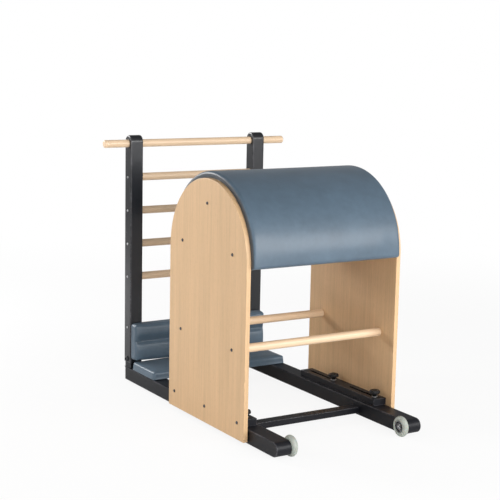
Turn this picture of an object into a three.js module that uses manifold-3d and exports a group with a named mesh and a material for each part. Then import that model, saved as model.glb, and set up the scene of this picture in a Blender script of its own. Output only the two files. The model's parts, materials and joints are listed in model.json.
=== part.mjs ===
// Ladder barrel for pilates: a ladder on a rolling base, with a padded barrel on a sliding carriage.
// Millimetres, +Z up, +X to the right. The ladder stands at the back (+Y), the wheels at the front.
import * as THREE from "three";
import { mergeVertices } from "three/addons/utils/BufferGeometryUtils.js";
import Module from "manifold-3d";

const wasm = await Module();
wasm.setup();

// Fits
const gap = 0.3;
const overrun = 4;
const boreClearance = 0.6;

// Base frame. A reach is a distance ahead of the uprights' front faces.
const frameWidth = 644;
const railWidth = 60;
const railHeight = 55;
const railReach = 1152;
const tubeWall = 2.5;
const footHeight = 9;
const footDiameter = 30;
const footChamfer = 2;
const footStemDiameter = 8;
const footStemLength = 10;
const frontFootSetback = 75;
const rearFootSetback = 25;
const crossTubeHeight = 25;
const crossTubeDepth = 44;
const crossTubeRise = 9;
const crossTubeCorner = 3;
const frontCrossReach = 831;

// Ladder
const uprightSide = 56;
const totalHeight = 1050;
const postReveal = 24;
const postEngagement = 112;
const rungDiameter = 32;
const topRungDrop = 34;
const topRungLength = 862;
const topRungRounding = 5;
const rungPitch = 140;
const pitchedRungs = 4;
const frameBoltRise = 15;
const frameBoltDiameter = 10;
const frameBoltHeadDiameter = 26;
const frameBoltHeadHeight = 8;
const boltDomeShare = 0.72;

// Seat and back pads
const padMargin = 1;
const seatNearReach = 11;
const seatDepth = 203;
const seatThickness = 36;
const seatCorner = 14;
const seatLeastCorner = 2;
const seatCrown = 3;
const seatEdge = 9;
const seatUnderEdge = 5;
const boardThickness = 9;
const boardInset = 22;
const backStandoff = 3;
const backThickness = 42;
const backRise = 4;
const backHeight = 159;
const backCrease = 11;
const backRim = 14;
const backEndRounding = 12;
const backBolsters = 2;
const backRungRise = 135;

// Wheels
const wheelDiameter = 78;
const wheelWidth = 24;
const wheelFloorGap = 1;
const wheelTipSetback = 27;
const wheelRailGap = 2;
const treadRounding = 10;
const hubDiameter = 44;
const hubWidth = 20;
const hubHoleDiameter = 7;
const hubHoles = 6;
const bearingDiameter = 22;
const bearingWidth = 14;
const axleDiameter = 8;
const axleHeadDiameter = 13;
const axleHeadHeight = 5;
const axlePlay = 0.6;
const axleEngagement = 12;
const axleBossDiameter = 15;

// Carriage with the barrel
const carriageReach = 675;
const archRadius = 287;
const archCentreHeight = 657;
const panelFloorGap = 17;
const panelThickness = 18;
const panelClearance = 1;
const shellThickness = 12;
const shellSkirt = 10;
const formerThickness = 20;
const barrelPadThickness = 27;
const barrelPadOverlap = 3;
const barrelPadRounding = 12;
const barSpacing = 388;
const barHeight = 340;
const channelWidth = 58;
const channelHeight = 26;
const frontSlotMargin = 34;
const rearSlotMargin = 36;
const slotClearance = 2;
const slotTravel = 160;

// Clamp knobs
const knobSpacing = 278;
const studDiameter = 10;
const weldNutAcross = 19;
const weldNutHeight = 10;
const studBelowNut = 4;
const washerDiameter = 24;
const washerThickness = 2;
const knobHeight = 24;
const knobDiameter = 42;
const knobFootDiameter = 26;
const knobRimHeight = 9;
const knobTopRounding = 3;
const knobFluteDepth = 2.4;
const knobLobes = 8;
const knobSocketDepth = 16;

// Screws that hold the arched formers
const screwHeadDiameter = 9;
const screwHeadHeight = 3;
const screwDiameter = 5;
const screwBite = 14;
const topScrewRise = 195;
const sideScrewRise = 31;
const sideScrewOffset = 187;

// Shares that shape rounded forms
const crownShares = [0.12, 0.3, 0.55, 0.96];
const leastCornerShare = 0.9;
const skirtShares = [0, 0.35, 1];
const rimThicknessShare = 0.45;
const bolsterPower = 2.6;
const knobWaistShare = 0.35;
const screwDomeShares = [
  [1, 0.45],
  [0.8, 0.8],
  [0.4, 1],
];

// Facets
const rodSides = 20;
const smallSides = 12;
const screwSides = 8;
const endSteps = 8;
const archSteps = 32;
const cornerSteps = 3;
const bolsterSteps = 6;
const lobeSteps = 4;

// Worked out from the driving dimensions
const wheelReach = railReach - wheelTipSetback;
const frontFootReach = wheelReach - frontFootSetback;
const uprightFront = (wheelReach + wheelDiameter / 2 - uprightSide) / 2;
const railTop = footHeight + railHeight;
const postInset = tubeWall + gap;
const postSide = uprightSide - 2 * postInset;
const railOuter = frameWidth / 2 - postInset;
const railCentre = railOuter - railWidth / 2;
const railInner = railOuter - railWidth;
const uprightCentre = (frameWidth - uprightSide) / 2;
const uprightBottom = railTop + postReveal;
const postTop = uprightBottom + postEngagement;
const frameBoltHeight = uprightBottom + frameBoltRise;
const topRungHeight = totalHeight - topRungDrop;
const rungBore = rungDiameter + boreClearance;
const rungLength = frameWidth - 2 * postInset;
const wheelAxisHeight = wheelFloorGap + wheelDiameter / 2;
const wheelCentre = railInner - wheelRailGap - wheelWidth / 2;
const axleBossHeight = wheelRailGap + (wheelWidth - bearingWidth) / 2 - axlePlay;
const padHalfWidth = frameWidth / 2 - padMargin;
const backBottom = railTop + seatThickness + backRise;
const backRungHeight = backBottom + backRungRise;
const panelInner = frameWidth / 2 + panelClearance;
const carriageWidth = 2 * (panelInner - gap);
const channelBottom = railTop + gap;
const channelTop = channelBottom + channelHeight;
const channelCentre = panelInner - gap - channelWidth / 2;
const channelLength = frontSlotMargin + knobSpacing + slotTravel + rearSlotMargin;
const frontKnobReach = carriageReach + channelLength / 2 - frontSlotMargin;
const slotWidth = studDiameter + slotClearance;
const washerBottom = channelTop + gap;
const knobBottom = washerBottom + washerThickness + gap;
const screwBore = screwDiameter + boreClearance;
const screwPlaces = [
  [0, archCentreHeight + topScrewRise],
  [-sideScrewOffset, archCentreHeight + sideScrewRise],
  [sideScrewOffset, archCentreHeight + sideScrewRise],
];
const pitchedRungHeights = [];
for (let rung = 1; rung <= pitchedRungs; rung += 1) {
  pitchedRungHeights.push(topRungHeight - rung * rungPitch);
}

function ahead(reach) {
  return uprightFront - reach;
}

const finishes = {
  blackSteel: { color: 0x3b3b3d, roughness: 0.42, metalness: 0.35 },
  rubber: { color: 0x1c1c1d, roughness: 0.9, metalness: 0 },
  dowel: { color: 0xe8d0b5, roughness: 0.5, metalness: 0 },
  board: { color: 0xc9a777, roughness: 0.7, metalness: 0 },
  laminate: { color: 0xd0b08a, roughness: 0.5, metalness: 0 },
  vinyl: { color: 0x66788a, roughness: 0.4, metalness: 0 },
  tyre: { color: 0xb9beb7, roughness: 0.45, metalness: 0 },
  zinc: { color: 0xb5b8ba, roughness: 0.3, metalness: 0.9 },
  blackPlastic: { color: 0x161617, roughness: 0.4, metalness: 0 },
};

// Basic solids

function solidOf(geometry) {
  const bare = geometry.clone();
  bare.deleteAttribute("normal");
  bare.deleteAttribute("uv");
  const merged = mergeVertices(bare);
  const corners = merged.index.array;
  const kept = [];
  for (let i = 0; i < corners.length; i += 3) {
    const [a, b, c] = corners.slice(i, i + 3);
    if (a !== b && b !== c && c !== a) {
      kept.push(a, b, c);
    }
  }
  const vertProperties = merged.attributes.position.array;
  return new wasm.Manifold(new wasm.Mesh({ numProp: 3, vertProperties, triVerts: Uint32Array.from(kept) }));
}

function piece(name, solid, finish, x = 0, y = 0, z = 0) {
  const cut = solid.getMesh();
  const geometry = new THREE.BufferGeometry();
  geometry.setAttribute("position", new THREE.BufferAttribute(cut.vertProperties, cut.numProp));
  geometry.setIndex(new THREE.BufferAttribute(cut.triVerts, 1));
  geometry.computeVertexNormals();
  const mesh = new THREE.Mesh(geometry, new THREE.MeshStandardMaterial(finish));
  mesh.name = name;
  mesh.position.set(x, y, z);
  return mesh;
}

function facing(side, mesh) {
  mesh.rotation.z = side > 0 ? 0 : Math.PI;
  return mesh;
}

// Turns a geometry built along Y so that it lies along the named axis
function lay(geometry, axis) {
  if (axis === "x") {
    return geometry.rotateZ(-Math.PI / 2);
  }
  return geometry.rotateX(Math.PI / 2);
}

function rod(axis, diameter, length, sides, x = 0, y = 0, z = 0) {
  const geometry = new THREE.CylinderGeometry(diameter / 2, diameter / 2, length, sides);
  return solidOf(lay(geometry, axis).translate(x, y, z));
}

function box(width, depth, height, x = 0, y = 0, z = 0) {
  return solidOf(new THREE.BoxGeometry(width, depth, height).translate(x, y, z));
}

// A profile of [radius, place along the axis] pairs, turned about that axis
function turned(axis, profile, sides) {
  const points = profile.map(([radius, place]) => new THREE.Vector2(radius, place));
  return solidOf(lay(new THREE.LatheGeometry(points, sides), axis));
}

// A ring between two diameters, centred on its axis
function collar(axis, inner, outer, length, sides) {
  return turned(axis, [
    [inner / 2, -length / 2],
    [outer / 2, -length / 2],
    [outer / 2, length / 2],
    [inner / 2, length / 2],
    [inner / 2, -length / 2],
  ], sides);
}

// A shape drawn in (Y, Z), extruded along X about its middle. An arc gets two steps for each curve segment.
function slab(shape, width, arcSteps) {
  const curveSegments = arcSteps / 2;
  const geometry = new THREE.ExtrudeGeometry(shape, { depth: width, bevelEnabled: false, curveSegments });
  geometry.translate(0, 0, -width / 2);
  const across = new THREE.Vector3(0, 1, 0);
  const up = new THREE.Vector3(0, 0, 1);
  const along = new THREE.Vector3(1, 0, 0);
  return solidOf(geometry.applyMatrix4(new THREE.Matrix4().makeBasis(across, up, along)));
}

function roundedRectangle(width, height, radius) {
  const shape = new THREE.Shape();
  const [right, top] = [width / 2 - radius, height / 2 - radius];
  shape.absarc(right, top, radius, 0, Math.PI / 2);
  shape.absarc(-right, top, radius, Math.PI / 2, Math.PI);
  shape.absarc(-right, -top, radius, Math.PI, 1.5 * Math.PI);
  shape.absarc(right, -top, radius, 1.5 * Math.PI, 2 * Math.PI);
  return shape;
}

// Joins rings with equal counts of points. Strips across the first and last ring close the ends.
function loft(rings) {
  const count = rings[0].length;
  const index = [];
  for (let ring = 0; ring < rings.length - 1; ring += 1) {
    for (let point = 0; point < count; point += 1) {
      const a = ring * count + point;
      const b = ring * count + ((point + 1) % count);
      index.push(a, b, b + count, a, b + count, a + count);
    }
  }
  const last = (rings.length - 1) * count;
  for (let point = 0; point < count / 2 - 1; point += 1) {
    const [a, b, c, d] = [point, point + 1, count - 2 - point, count - 1 - point];
    index.push(a, c, b, a, d, c);
    index.push(last + a, last + b, last + c, last + a, last + c, last + d);
  }
  const positions = rings.flat().flatMap((point) => point.toArray());
  const geometry = new THREE.BufferGeometry();
  geometry.setAttribute("position", new THREE.Float32BufferAttribute(positions, 3));
  geometry.setIndex(index);
  return solidOf(geometry);
}

// Pairs of [inset, rise] round a quarter circle, from the full inset at no rise to none at the full rise
function quarter(radius) {
  return Array.from({ length: cornerSteps + 1 }, (_, step) => {
    const angle = ((step / cornerSteps) * Math.PI) / 2;
    return [radius * (1 - Math.sin(angle)), radius * (1 - Math.cos(angle))];
  });
}

// Base frame

function railOutline(front, back, bottom, top) {
  const radius = (top - bottom) / 2;
  const shape = new THREE.Shape();
  shape.moveTo(back, bottom);
  shape.lineTo(front + radius, bottom);
  shape.absarc(front + radius, bottom + radius, radius, 1.5 * Math.PI, Math.PI / 2, true);
  shape.lineTo(back, top);
  return shape;
}

// A rail with its welded nuts and axle boss, about its centre plane, the uprights' fronts and its underside
function rail(side) {
  const rear = uprightSide - postInset;
  const hollow = railOutline(tubeWall - railReach, rear - tubeWall, tubeWall, railHeight - tubeWall);
  let solid = slab(railOutline(-railReach, rear, 0, railHeight), railWidth, endSteps)
    .subtract(slab(hollow, railWidth - 2 * tubeWall, endSteps));

  const nutX = side * (channelCentre - railCentre);
  const nutZ = railHeight - tubeWall - weldNutHeight / 2;
  const nutDiameter = weldNutAcross / Math.cos(Math.PI / 6);
  for (const reach of [frontKnobReach, frontKnobReach - knobSpacing]) {
    solid = solid
      .add(rod("z", nutDiameter, weldNutHeight + tubeWall, 6, nutX, -reach, nutZ))
      .subtract(rod("z", studDiameter + boreClearance, railHeight, smallSides, nutX, -reach, railHeight));
  }

  const inner = (-side * railWidth) / 2;
  const bossX = inner - (side * (axleBossHeight - tubeWall)) / 2;
  const axleZ = wheelAxisHeight - footHeight;
  const axleBore = axleDiameter + boreClearance;
  solid = solid
    .add(rod("x", axleBossDiameter, axleBossHeight + tubeWall, smallSides, bossX, -wheelReach, axleZ))
    .subtract(rod("x", axleBore, railWidth, smallSides, inner, -wheelReach, axleZ));

  const stemBore = footStemDiameter + boreClearance;
  for (const footY of [-frontFootReach, rearFootSetback]) {
    solid = solid.subtract(rod("z", stemBore, footStemLength, smallSides, 0, footY, 0));
  }
  return solid;
}

// The post that stands on a rail's rear end inside the upright, about its foot
function post() {
  const height = postTop - railTop - gap;
  const hollow = postSide - 2 * tubeWall;
  const boltBore = frameBoltDiameter + boreClearance;
  return box(postSide, postSide, height, 0, 0, height / 2)
    .subtract(box(hollow, hollow, height + overrun, 0, 0, height / 2))
    .subtract(rod("x", boltBore, postSide + overrun, smallSides, 0, 0, frameBoltHeight - railTop - gap));
}

function crossTube() {
  const length = 2 * (railInner - gap);
  const hollowDepth = crossTubeDepth - 2 * tubeWall;
  const hollowHeight = crossTubeHeight - 2 * tubeWall;
  const outer = roundedRectangle(crossTubeDepth, crossTubeHeight, crossTubeCorner);
  const hollow = roundedRectangle(hollowDepth, hollowHeight, crossTubeCorner / 2);
  return slab(outer, length, cornerSteps).subtract(slab(hollow, length + overrun, cornerSteps));
}

function foot() {
  const radius = footDiameter / 2;
  const stem = footStemDiameter / 2;
  const top = footHeight - gap;
  return turned("z", [
    [0, 0],
    [radius - footChamfer, 0],
    [radius, footChamfer],
    [radius, top],
    [stem, top],
    [stem, top + footStemLength],
    [0, top + footStemLength],
  ], rodSides);
}

const base = new THREE.Group();
for (const [word, side] of [["left", -1], ["right", 1]]) {
  base.add(piece(`rail_${word}`, rail(side), finishes.blackSteel,
    side * railCentre, uprightFront, footHeight));
  base.add(piece(`post_${word}`, post(), finishes.blackSteel,
    side * uprightCentre, ahead(-uprightSide / 2), railTop + gap));
  base.add(piece(`foot_front_${word}`, foot(), finishes.rubber, side * railCentre, ahead(frontFootReach)));
  base.add(piece(`foot_rear_${word}`, foot(), finishes.rubber, side * railCentre, ahead(-rearFootSetback)));
}
const crossTubeZ = footHeight + crossTubeRise + crossTubeHeight / 2;
base.add(piece("front_cross_tube", crossTube(), finishes.blackSteel, 0, ahead(frontCrossReach), crossTubeZ));
base.add(piece("rear_cross_tube", crossTube(), finishes.blackSteel, 0, ahead(-uprightSide / 2), crossTubeZ));

// Ladder

function uprightOutline(front, back, bottom, top) {
  const radius = (back - front) / 2;
  const shape = new THREE.Shape();
  shape.moveTo(front, bottom);
  shape.lineTo(back, bottom);
  shape.absarc(front + radius, top - radius, radius, 0, Math.PI);
  return shape;
}

// About the tube's centre plane, its front face and the floor
function upright(side) {
  const middle = uprightSide / 2;
  const hollow = uprightOutline(
    tubeWall, uprightSide - tubeWall, uprightBottom - overrun, totalHeight - tubeWall);
  let solid = slab(uprightOutline(0, uprightSide, uprightBottom, totalHeight), uprightSide, endSteps)
    .subtract(slab(hollow, uprightSide - 2 * tubeWall, endSteps))
    .subtract(rod("x", rungBore, uprightSide + overrun, rodSides, 0, middle, topRungHeight));
  for (const height of [...pitchedRungHeights, backRungHeight]) {
    solid = solid.subtract(rod("x", rungBore, uprightSide, rodSides, -side * middle, middle, height));
  }
  const boltBore = frameBoltDiameter + boreClearance;
  return solid.subtract(rod("x", boltBore, uprightSide, smallSides, side * middle, middle, frameBoltHeight));
}

function topRung() {
  const half = topRungLength / 2;
  const end = quarter(topRungRounding).map(([inset, rise]) => [rungDiameter / 2 - inset, half - rise]);
  const start = end.map(([radius, place]) => [radius, -place]);
  return turned("x", [[0, -half], ...start, ...end.toReversed(), [0, half]], rodSides);
}

// Its head's underside faces the upright, and its shank runs through the post inside
function frameBolt() {
  const head = frameBoltHeadDiameter / 2;
  const shank = frameBoltDiameter / 2;
  return turned("x", [
    [0, postInset - uprightSide],
    [shank, postInset - uprightSide],
    [shank, gap],
    [head, gap],
    [head, frameBoltHeadHeight / 2],
    [head * boltDomeShare, frameBoltHeadHeight],
    [0, frameBoltHeadHeight],
  ], rodSides);
}

const ladder = new THREE.Group();
ladder.position.y = uprightFront;
const rungY = uprightSide / 2;
for (const [word, side] of [["left", -1], ["right", 1]]) {
  ladder.add(piece(`upright_${word}`, upright(side), finishes.blackSteel, side * uprightCentre));
  const bolt = piece(`frame_bolt_${word}`, frameBolt(), finishes.blackSteel,
    (side * frameWidth) / 2, rungY, frameBoltHeight);
  ladder.add(facing(side, bolt));
}
ladder.add(piece("rung_1_top", topRung(), finishes.dowel, 0, rungY, topRungHeight));
pitchedRungHeights.forEach((height, rung) => {
  const solid = rod("x", rungDiameter, rungLength, rodSides);
  ladder.add(piece(`rung_${rung + 2}`, solid, finishes.dowel, 0, rungY, height));
});
const backRung = rod("x", rungDiameter, rungLength, rodSides);
ladder.add(piece("back_rest_rung", backRung, finishes.dowel, 0, rungY, backRungHeight));

// Seat and back rest

function seatRing(inset, height) {
  const width = 2 * (padHalfWidth - inset);
  const depth = seatDepth - 2 * inset;
  const corner = Math.max(seatCorner - inset, seatLeastCorner);
  const radius = Math.min(corner, (depth / 2) * leastCornerShare);
  const [right, back] = [width / 2 - radius, depth / 2 - radius];
  const ring = [];
  [[right, back], [-right, back], [-right, -back], [right, -back]].forEach(([x, y], turn) => {
    for (let step = 0; step <= cornerSteps; step += 1) {
      const angle = ((turn + step / cornerSteps) * Math.PI) / 2;
      ring.push(new THREE.Vector3(x + radius * Math.cos(angle), y + radius * Math.sin(angle), height));
    }
  });
  return ring;
}

function seatPad() {
  const shoulder = seatThickness - seatCrown;
  const under = quarter(seatUnderEdge).map(([inset, rise]) => seatRing(inset, rise));
  const edge = quarter(seatEdge).toReversed().map(([inset, rise]) => seatRing(inset, shoulder - rise));
  const crown = crownShares.map((share) => {
    const inset = seatEdge + share * (seatDepth / 2 - seatEdge);
    return seatRing(inset, shoulder + seatCrown * (1 - (1 - share) ** 2));
  });
  return loft([...under, ...edge, ...crown]);
}

// The back pad's outline in (Y, Z) at a station along X, drawn in by an inset near the ends.
// Its flat back lies on Y = 0, and its front swells into bolsters with a crease between them.
function backRing(x, inset) {
  const steps = backBolsters * bolsterSteps;
  const rear = [];
  const front = [];
  for (let step = 0; step <= steps; step += 1) {
    const share = (1 - Math.cos((Math.PI * (step % bolsterSteps)) / bolsterSteps)) / 2;
    const bolster = Math.floor(step / bolsterSteps);
    const z = inset + ((bolster + share) / backBolsters) * (backHeight - 2 * inset);
    const swell = (1 - Math.abs(2 * share - 1) ** bolsterPower) ** (1 / bolsterPower);
    const outermost = (bolster === 0 && share < 1 / 2) || (bolster >= backBolsters - 1 && share > 1 / 2);
    const rim = outermost || step === steps ? backRim : backThickness - backCrease;
    rear.push(new THREE.Vector3(x, 0, z));
    const thickness = rim + (backThickness - rim) * swell;
    front.push(new THREE.Vector3(x, -thickness * (1 - inset / backThickness), z));
  }
  return [...rear, ...front.toReversed()];
}

function backPad() {
  const end = quarter(backEndRounding);
  const start = end.map(([inset, rise]) => backRing(rise - padHalfWidth, inset));
  const finish = end.toReversed().map(([inset, rise]) => backRing(padHalfWidth - rise, inset));
  return loft([...start, ...finish]);
}

const pads = new THREE.Group();
const boardWidth = 2 * (padHalfWidth - boardInset);
const pocketWidth = boardWidth + 2 * gap;
const pocketReach = 2 * (boardThickness + gap);
const seatY = ahead(seatNearReach + seatDepth / 2);
const seatZ = railTop + gap;
const seatBoardDepth = seatDepth - 2 * boardInset;
const seatPocket = box(pocketWidth, seatBoardDepth + 2 * gap, pocketReach);
const seatBoard = box(boardWidth, seatBoardDepth, boardThickness);
pads.add(piece("seat_pad", seatPad().subtract(seatPocket), finishes.vinyl, 0, seatY, seatZ));
pads.add(piece("seat_board", seatBoard, finishes.board, 0, seatY, seatZ + boardThickness / 2));

const backY = ahead(backStandoff);
const backZ = backBottom + backHeight / 2;
const backBoardHeight = backHeight - 2 * boardInset;
const backPocket = box(pocketWidth, pocketReach, backBoardHeight + 2 * gap, 0, 0, backHeight / 2);
const backBoard = box(boardWidth, boardThickness, backBoardHeight);
pads.add(piece("back_pad", backPad().subtract(backPocket), finishes.vinyl, 0, backY, backBottom));
pads.add(piece("back_board", backBoard, finishes.board, 0, backY - boardThickness / 2, backZ));

// Wheels

function tyre() {
  const inner = hubDiameter / 2 + gap;
  const outer = wheelDiameter / 2;
  const half = wheelWidth / 2;
  const shoulder = quarter(treadRounding).map(([inset, rise]) => [outer - inset, half - rise]);
  const start = shoulder.map(([radius, place]) => [radius, -place]);
  const tread = [...start, ...shoulder.toReversed()];
  return turned("x", [[inner, -half], ...tread, [inner, half], [inner, -half]], rodSides);
}

function hub() {
  let solid = collar("x", bearingDiameter + gap, hubDiameter, hubWidth, rodSides);
  const holeRadius = (hubDiameter + bearingDiameter) / 4;
  for (let hole = 0; hole < hubHoles; hole += 1) {
    const angle = (2 * Math.PI * hole) / hubHoles;
    const [y, z] = [holeRadius * Math.cos(angle), holeRadius * Math.sin(angle)];
    solid = solid.subtract(rod("x", hubHoleDiameter, hubWidth + overrun, screwSides, 0, y, z));
  }
  return solid;
}

// From its head beside the bearing to its threaded end inside the rail
function axleBolt() {
  const headEnd = -bearingWidth / 2 - axlePlay;
  const shankEnd = railInner + axleEngagement - wheelCentre;
  return turned("x", [
    [0, headEnd - axleHeadHeight],
    [axleHeadDiameter / 2, headEnd - axleHeadHeight],
    [axleHeadDiameter / 2, headEnd],
    [axleDiameter / 2, headEnd],
    [axleDiameter / 2, shankEnd],
    [0, shankEnd],
  ], smallSides);
}

const wheels = new THREE.Group();
for (const [word, side] of [["left", -1], ["right", 1]]) {
  const wheel = new THREE.Group();
  wheel.position.set(side * wheelCentre, ahead(wheelReach), wheelAxisHeight);
  wheel.add(piece(`wheel_tyre_${word}`, tyre(), finishes.tyre));
  wheel.add(piece(`wheel_hub_${word}`, hub(), finishes.zinc));
  const bearing = collar("x", axleDiameter + boreClearance, bearingDiameter - gap, bearingWidth, rodSides);
  wheel.add(piece(`wheel_bearing_${word}`, bearing, finishes.zinc));
  wheel.add(facing(side, piece(`wheel_axle_${word}`, axleBolt(), finishes.zinc)));
  wheels.add(wheel);
}

// Carriage

function archOutline(radius, bottom) {
  const shape = new THREE.Shape();
  shape.moveTo(-radius, bottom);
  shape.lineTo(radius, bottom);
  shape.absarc(0, archCentreHeight, radius, 0, Math.PI);
  return shape;
}

function cutScrewHoles(solid, length) {
  return screwPlaces.reduce(
    (left, [y, z]) => left.subtract(rod("x", screwBore, length, screwSides, 0, y, z)),
    solid,
  );
}

function shell() {
  const bottom = archCentreHeight - shellSkirt;
  const hollow = archOutline(archRadius - shellThickness, bottom - overrun);
  return slab(archOutline(archRadius, bottom), carriageWidth, archSteps)
    .subtract(slab(hollow, carriageWidth + overrun, archSteps));
}

// The barrel pad's outline in (Y, Z) at a station along X: a horseshoe whose rims thin out
function barrelRing(x, inset) {
  const inner = archRadius + gap;
  const full = barrelPadThickness - inset;
  const places = skirtShares.map((share) => {
    const rim = Math.sqrt(1 - (1 - share) ** 2);
    const thickness = full * (rimThicknessShare + (1 - rimThicknessShare) * rim);
    return [0, archCentreHeight - shellSkirt * (1 - share), thickness];
  });
  const arc = Array.from({ length: archSteps - 1 }, (_, step) => {
    return [((step + 1) / archSteps) * Math.PI, archCentreHeight, full];
  });
  const far = places.toReversed().map(([, z, thickness]) => [Math.PI, z, thickness]);
  const around = [...places, ...arc, ...far];
  const ring = (reachOut) => around.map(([angle, z, thickness]) => {
    const radius = inner + (reachOut ? thickness : 0);
    return new THREE.Vector3(x, radius * Math.cos(angle), z + radius * Math.sin(angle));
  });
  return [...ring(true), ...ring(false).toReversed()];
}

function barrelPad() {
  const half = panelInner + barrelPadOverlap;
  const end = quarter(barrelPadRounding);
  const start = end.map(([inset, rise]) => barrelRing(rise - half, inset));
  const finish = end.toReversed().map(([inset, rise]) => barrelRing(half - rise, inset));
  return loft([...start, ...finish]);
}

// Closed at both ends, with a slot through its top and bottom walls at each clamp knob
function channel() {
  const middle = channelHeight / 2;
  const hollow = box(channelWidth - 2 * tubeWall, channelLength - 2 * tubeWall, channelHeight - 2 * tubeWall,
    0, 0, middle);
  let solid = box(channelWidth, channelLength, channelHeight, 0, 0, middle).subtract(hollow);
  for (const reach of [frontKnobReach, frontKnobReach - knobSpacing]) {
    const start = carriageReach - reach;
    const cutHeight = channelHeight + overrun;
    const slot = box(slotWidth, slotTravel, cutHeight, 0, start + slotTravel / 2, middle)
      .add(rod("z", slotWidth, cutHeight, smallSides, 0, start, middle))
      .add(rod("z", slotWidth, cutHeight, smallSides, 0, start + slotTravel, middle));
    solid = solid.subtract(slot);
  }
  return solid;
}

function panScrew() {
  const end = -panelThickness - screwBite;
  const shank = screwDiameter / 2;
  const head = screwHeadDiameter / 2;
  const height = screwHeadHeight - gap;
  const dome = screwDomeShares.map(([across, rise]) => [head * across, gap + height * rise]);
  const profile = [[0, end], [shank, end], [shank, gap], [head, gap], ...dome, [0, screwHeadHeight]];
  return turned("x", profile, screwSides);
}

const carriage = new THREE.Group();
carriage.position.y = ahead(carriageReach);
const formerCentre = panelInner - gap - formerThickness / 2;
const screwNames = ["top", "front", "rear"];
for (const [word, side] of [["left", -1], ["right", 1]]) {
  const panelX = side * (panelInner + panelThickness / 2);
  const panelBoard = slab(archOutline(archRadius, panelFloorGap), panelThickness, archSteps);
  const panel = cutScrewHoles(panelBoard, panelThickness + overrun);
  const formerOutline = archOutline(archRadius - shellThickness - gap, archCentreHeight - shellSkirt);
  const formerBoard = slab(formerOutline, formerThickness, archSteps);
  const former = cutScrewHoles(formerBoard, formerThickness + overrun);
  const channelX = side * channelCentre;
  carriage.add(piece(`side_panel_${word}`, panel, finishes.laminate, panelX));
  carriage.add(piece(`arch_former_${word}`, former, finishes.board, side * formerCentre));
  carriage.add(piece(`slide_channel_${word}`, channel(), finishes.blackSteel, channelX, 0, channelBottom));
  screwPlaces.forEach(([y, z], place) => {
    const name = `former_screw_${screwNames[place]}_${word}`;
    const screw = piece(name, panScrew(), finishes.zinc, side * (panelInner + panelThickness), y, z);
    carriage.add(facing(side, screw));
  });
}
carriage.add(piece("barrel_shell", shell(), finishes.board));
carriage.add(piece("barrel_pad", barrelPad(), finishes.vinyl));
for (const [word, end] of [["front", -1], ["rear", 1]]) {
  const bar = rod("x", rungDiameter, carriageWidth, rodSides);
  carriage.add(piece(`step_bar_${word}`, bar, finishes.dowel, 0, (end * barSpacing) / 2, barHeight));
}

// Clamp knobs

function knobRing(diameter, height, flute) {
  return Array.from({ length: knobLobes * lobeSteps }, (_, step) => {
    const angle = (2 * Math.PI * step) / (knobLobes * lobeSteps);
    const radius = diameter / 2 - (flute * (1 - Math.cos(knobLobes * angle))) / 2;
    return new THREE.Vector3(radius * Math.cos(angle), radius * Math.sin(angle), height);
  });
}

function knobCap() {
  const rimBottom = knobHeight - knobTopRounding - knobRimHeight;
  const waist = knobFootDiameter + (knobDiameter - knobFootDiameter) * knobWaistShare;
  const body = loft([
    knobRing(knobFootDiameter, 0, 0),
    knobRing(knobFootDiameter, rimBottom * knobWaistShare, 0),
    knobRing(waist, rimBottom * (1 - knobWaistShare), knobFluteDepth / 2),
    knobRing(knobDiameter, rimBottom, knobFluteDepth),
    knobRing(knobDiameter, knobHeight - knobTopRounding, knobFluteDepth),
    knobRing(knobDiameter - 2 * knobTopRounding, knobHeight, 0),
  ]);
  return body.subtract(rod("z", studDiameter + boreClearance, 2 * knobSocketDepth, smallSides));
}

const knobs = new THREE.Group();
const studTop = knobBottom + knobSocketDepth - gap;
const studBottom = railTop - tubeWall - weldNutHeight - studBelowNut;
const studLength = studTop - studBottom;
const washerMiddle = washerBottom + washerThickness / 2;
for (const [word, side] of [["left", -1], ["right", 1]]) {
  for (const [place, reach] of [["front", frontKnobReach], ["rear", frontKnobReach - knobSpacing]]) {
    const knob = new THREE.Group();
    knob.position.set(side * channelCentre, ahead(reach), 0);
    const washer = collar("z", studDiameter + boreClearance, washerDiameter, washerThickness, rodSides);
    const stud = rod("z", studDiameter, studLength, smallSides);
    knob.add(piece(`knob_cap_${place}_${word}`, knobCap(), finishes.blackPlastic, 0, 0, knobBottom));
    knob.add(piece(`knob_stud_${place}_${word}`, stud, finishes.zinc, 0, 0, studBottom + studLength / 2));
    knob.add(piece(`knob_washer_${place}_${word}`, washer, finishes.zinc, 0, 0, washerMiddle));
    knobs.add(knob);
  }
}

const ladderBarrel = new THREE.Group();
ladderBarrel.add(base, ladder, pads, wheels, carriage, knobs);
export default ladderBarrel;
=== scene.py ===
"""The looks of a ladder barrel, dressed round its fixed CAD frame.

A black steel base on rubber feet and two wheels carries a ladder, a seat and a back pad.
A padded barrel between two board panels slides along the base and is clamped by four knobs.
Lengths are in metres, X runs across the apparatus, and the barrel's front faces -Y.
"""

import json
import logging
import math
from collections.abc import Callable, Sequence
from dataclasses import dataclass
from enum import Enum

import bmesh
import bpy
import numpy as np
from mathutils import Matrix, Vector


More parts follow.
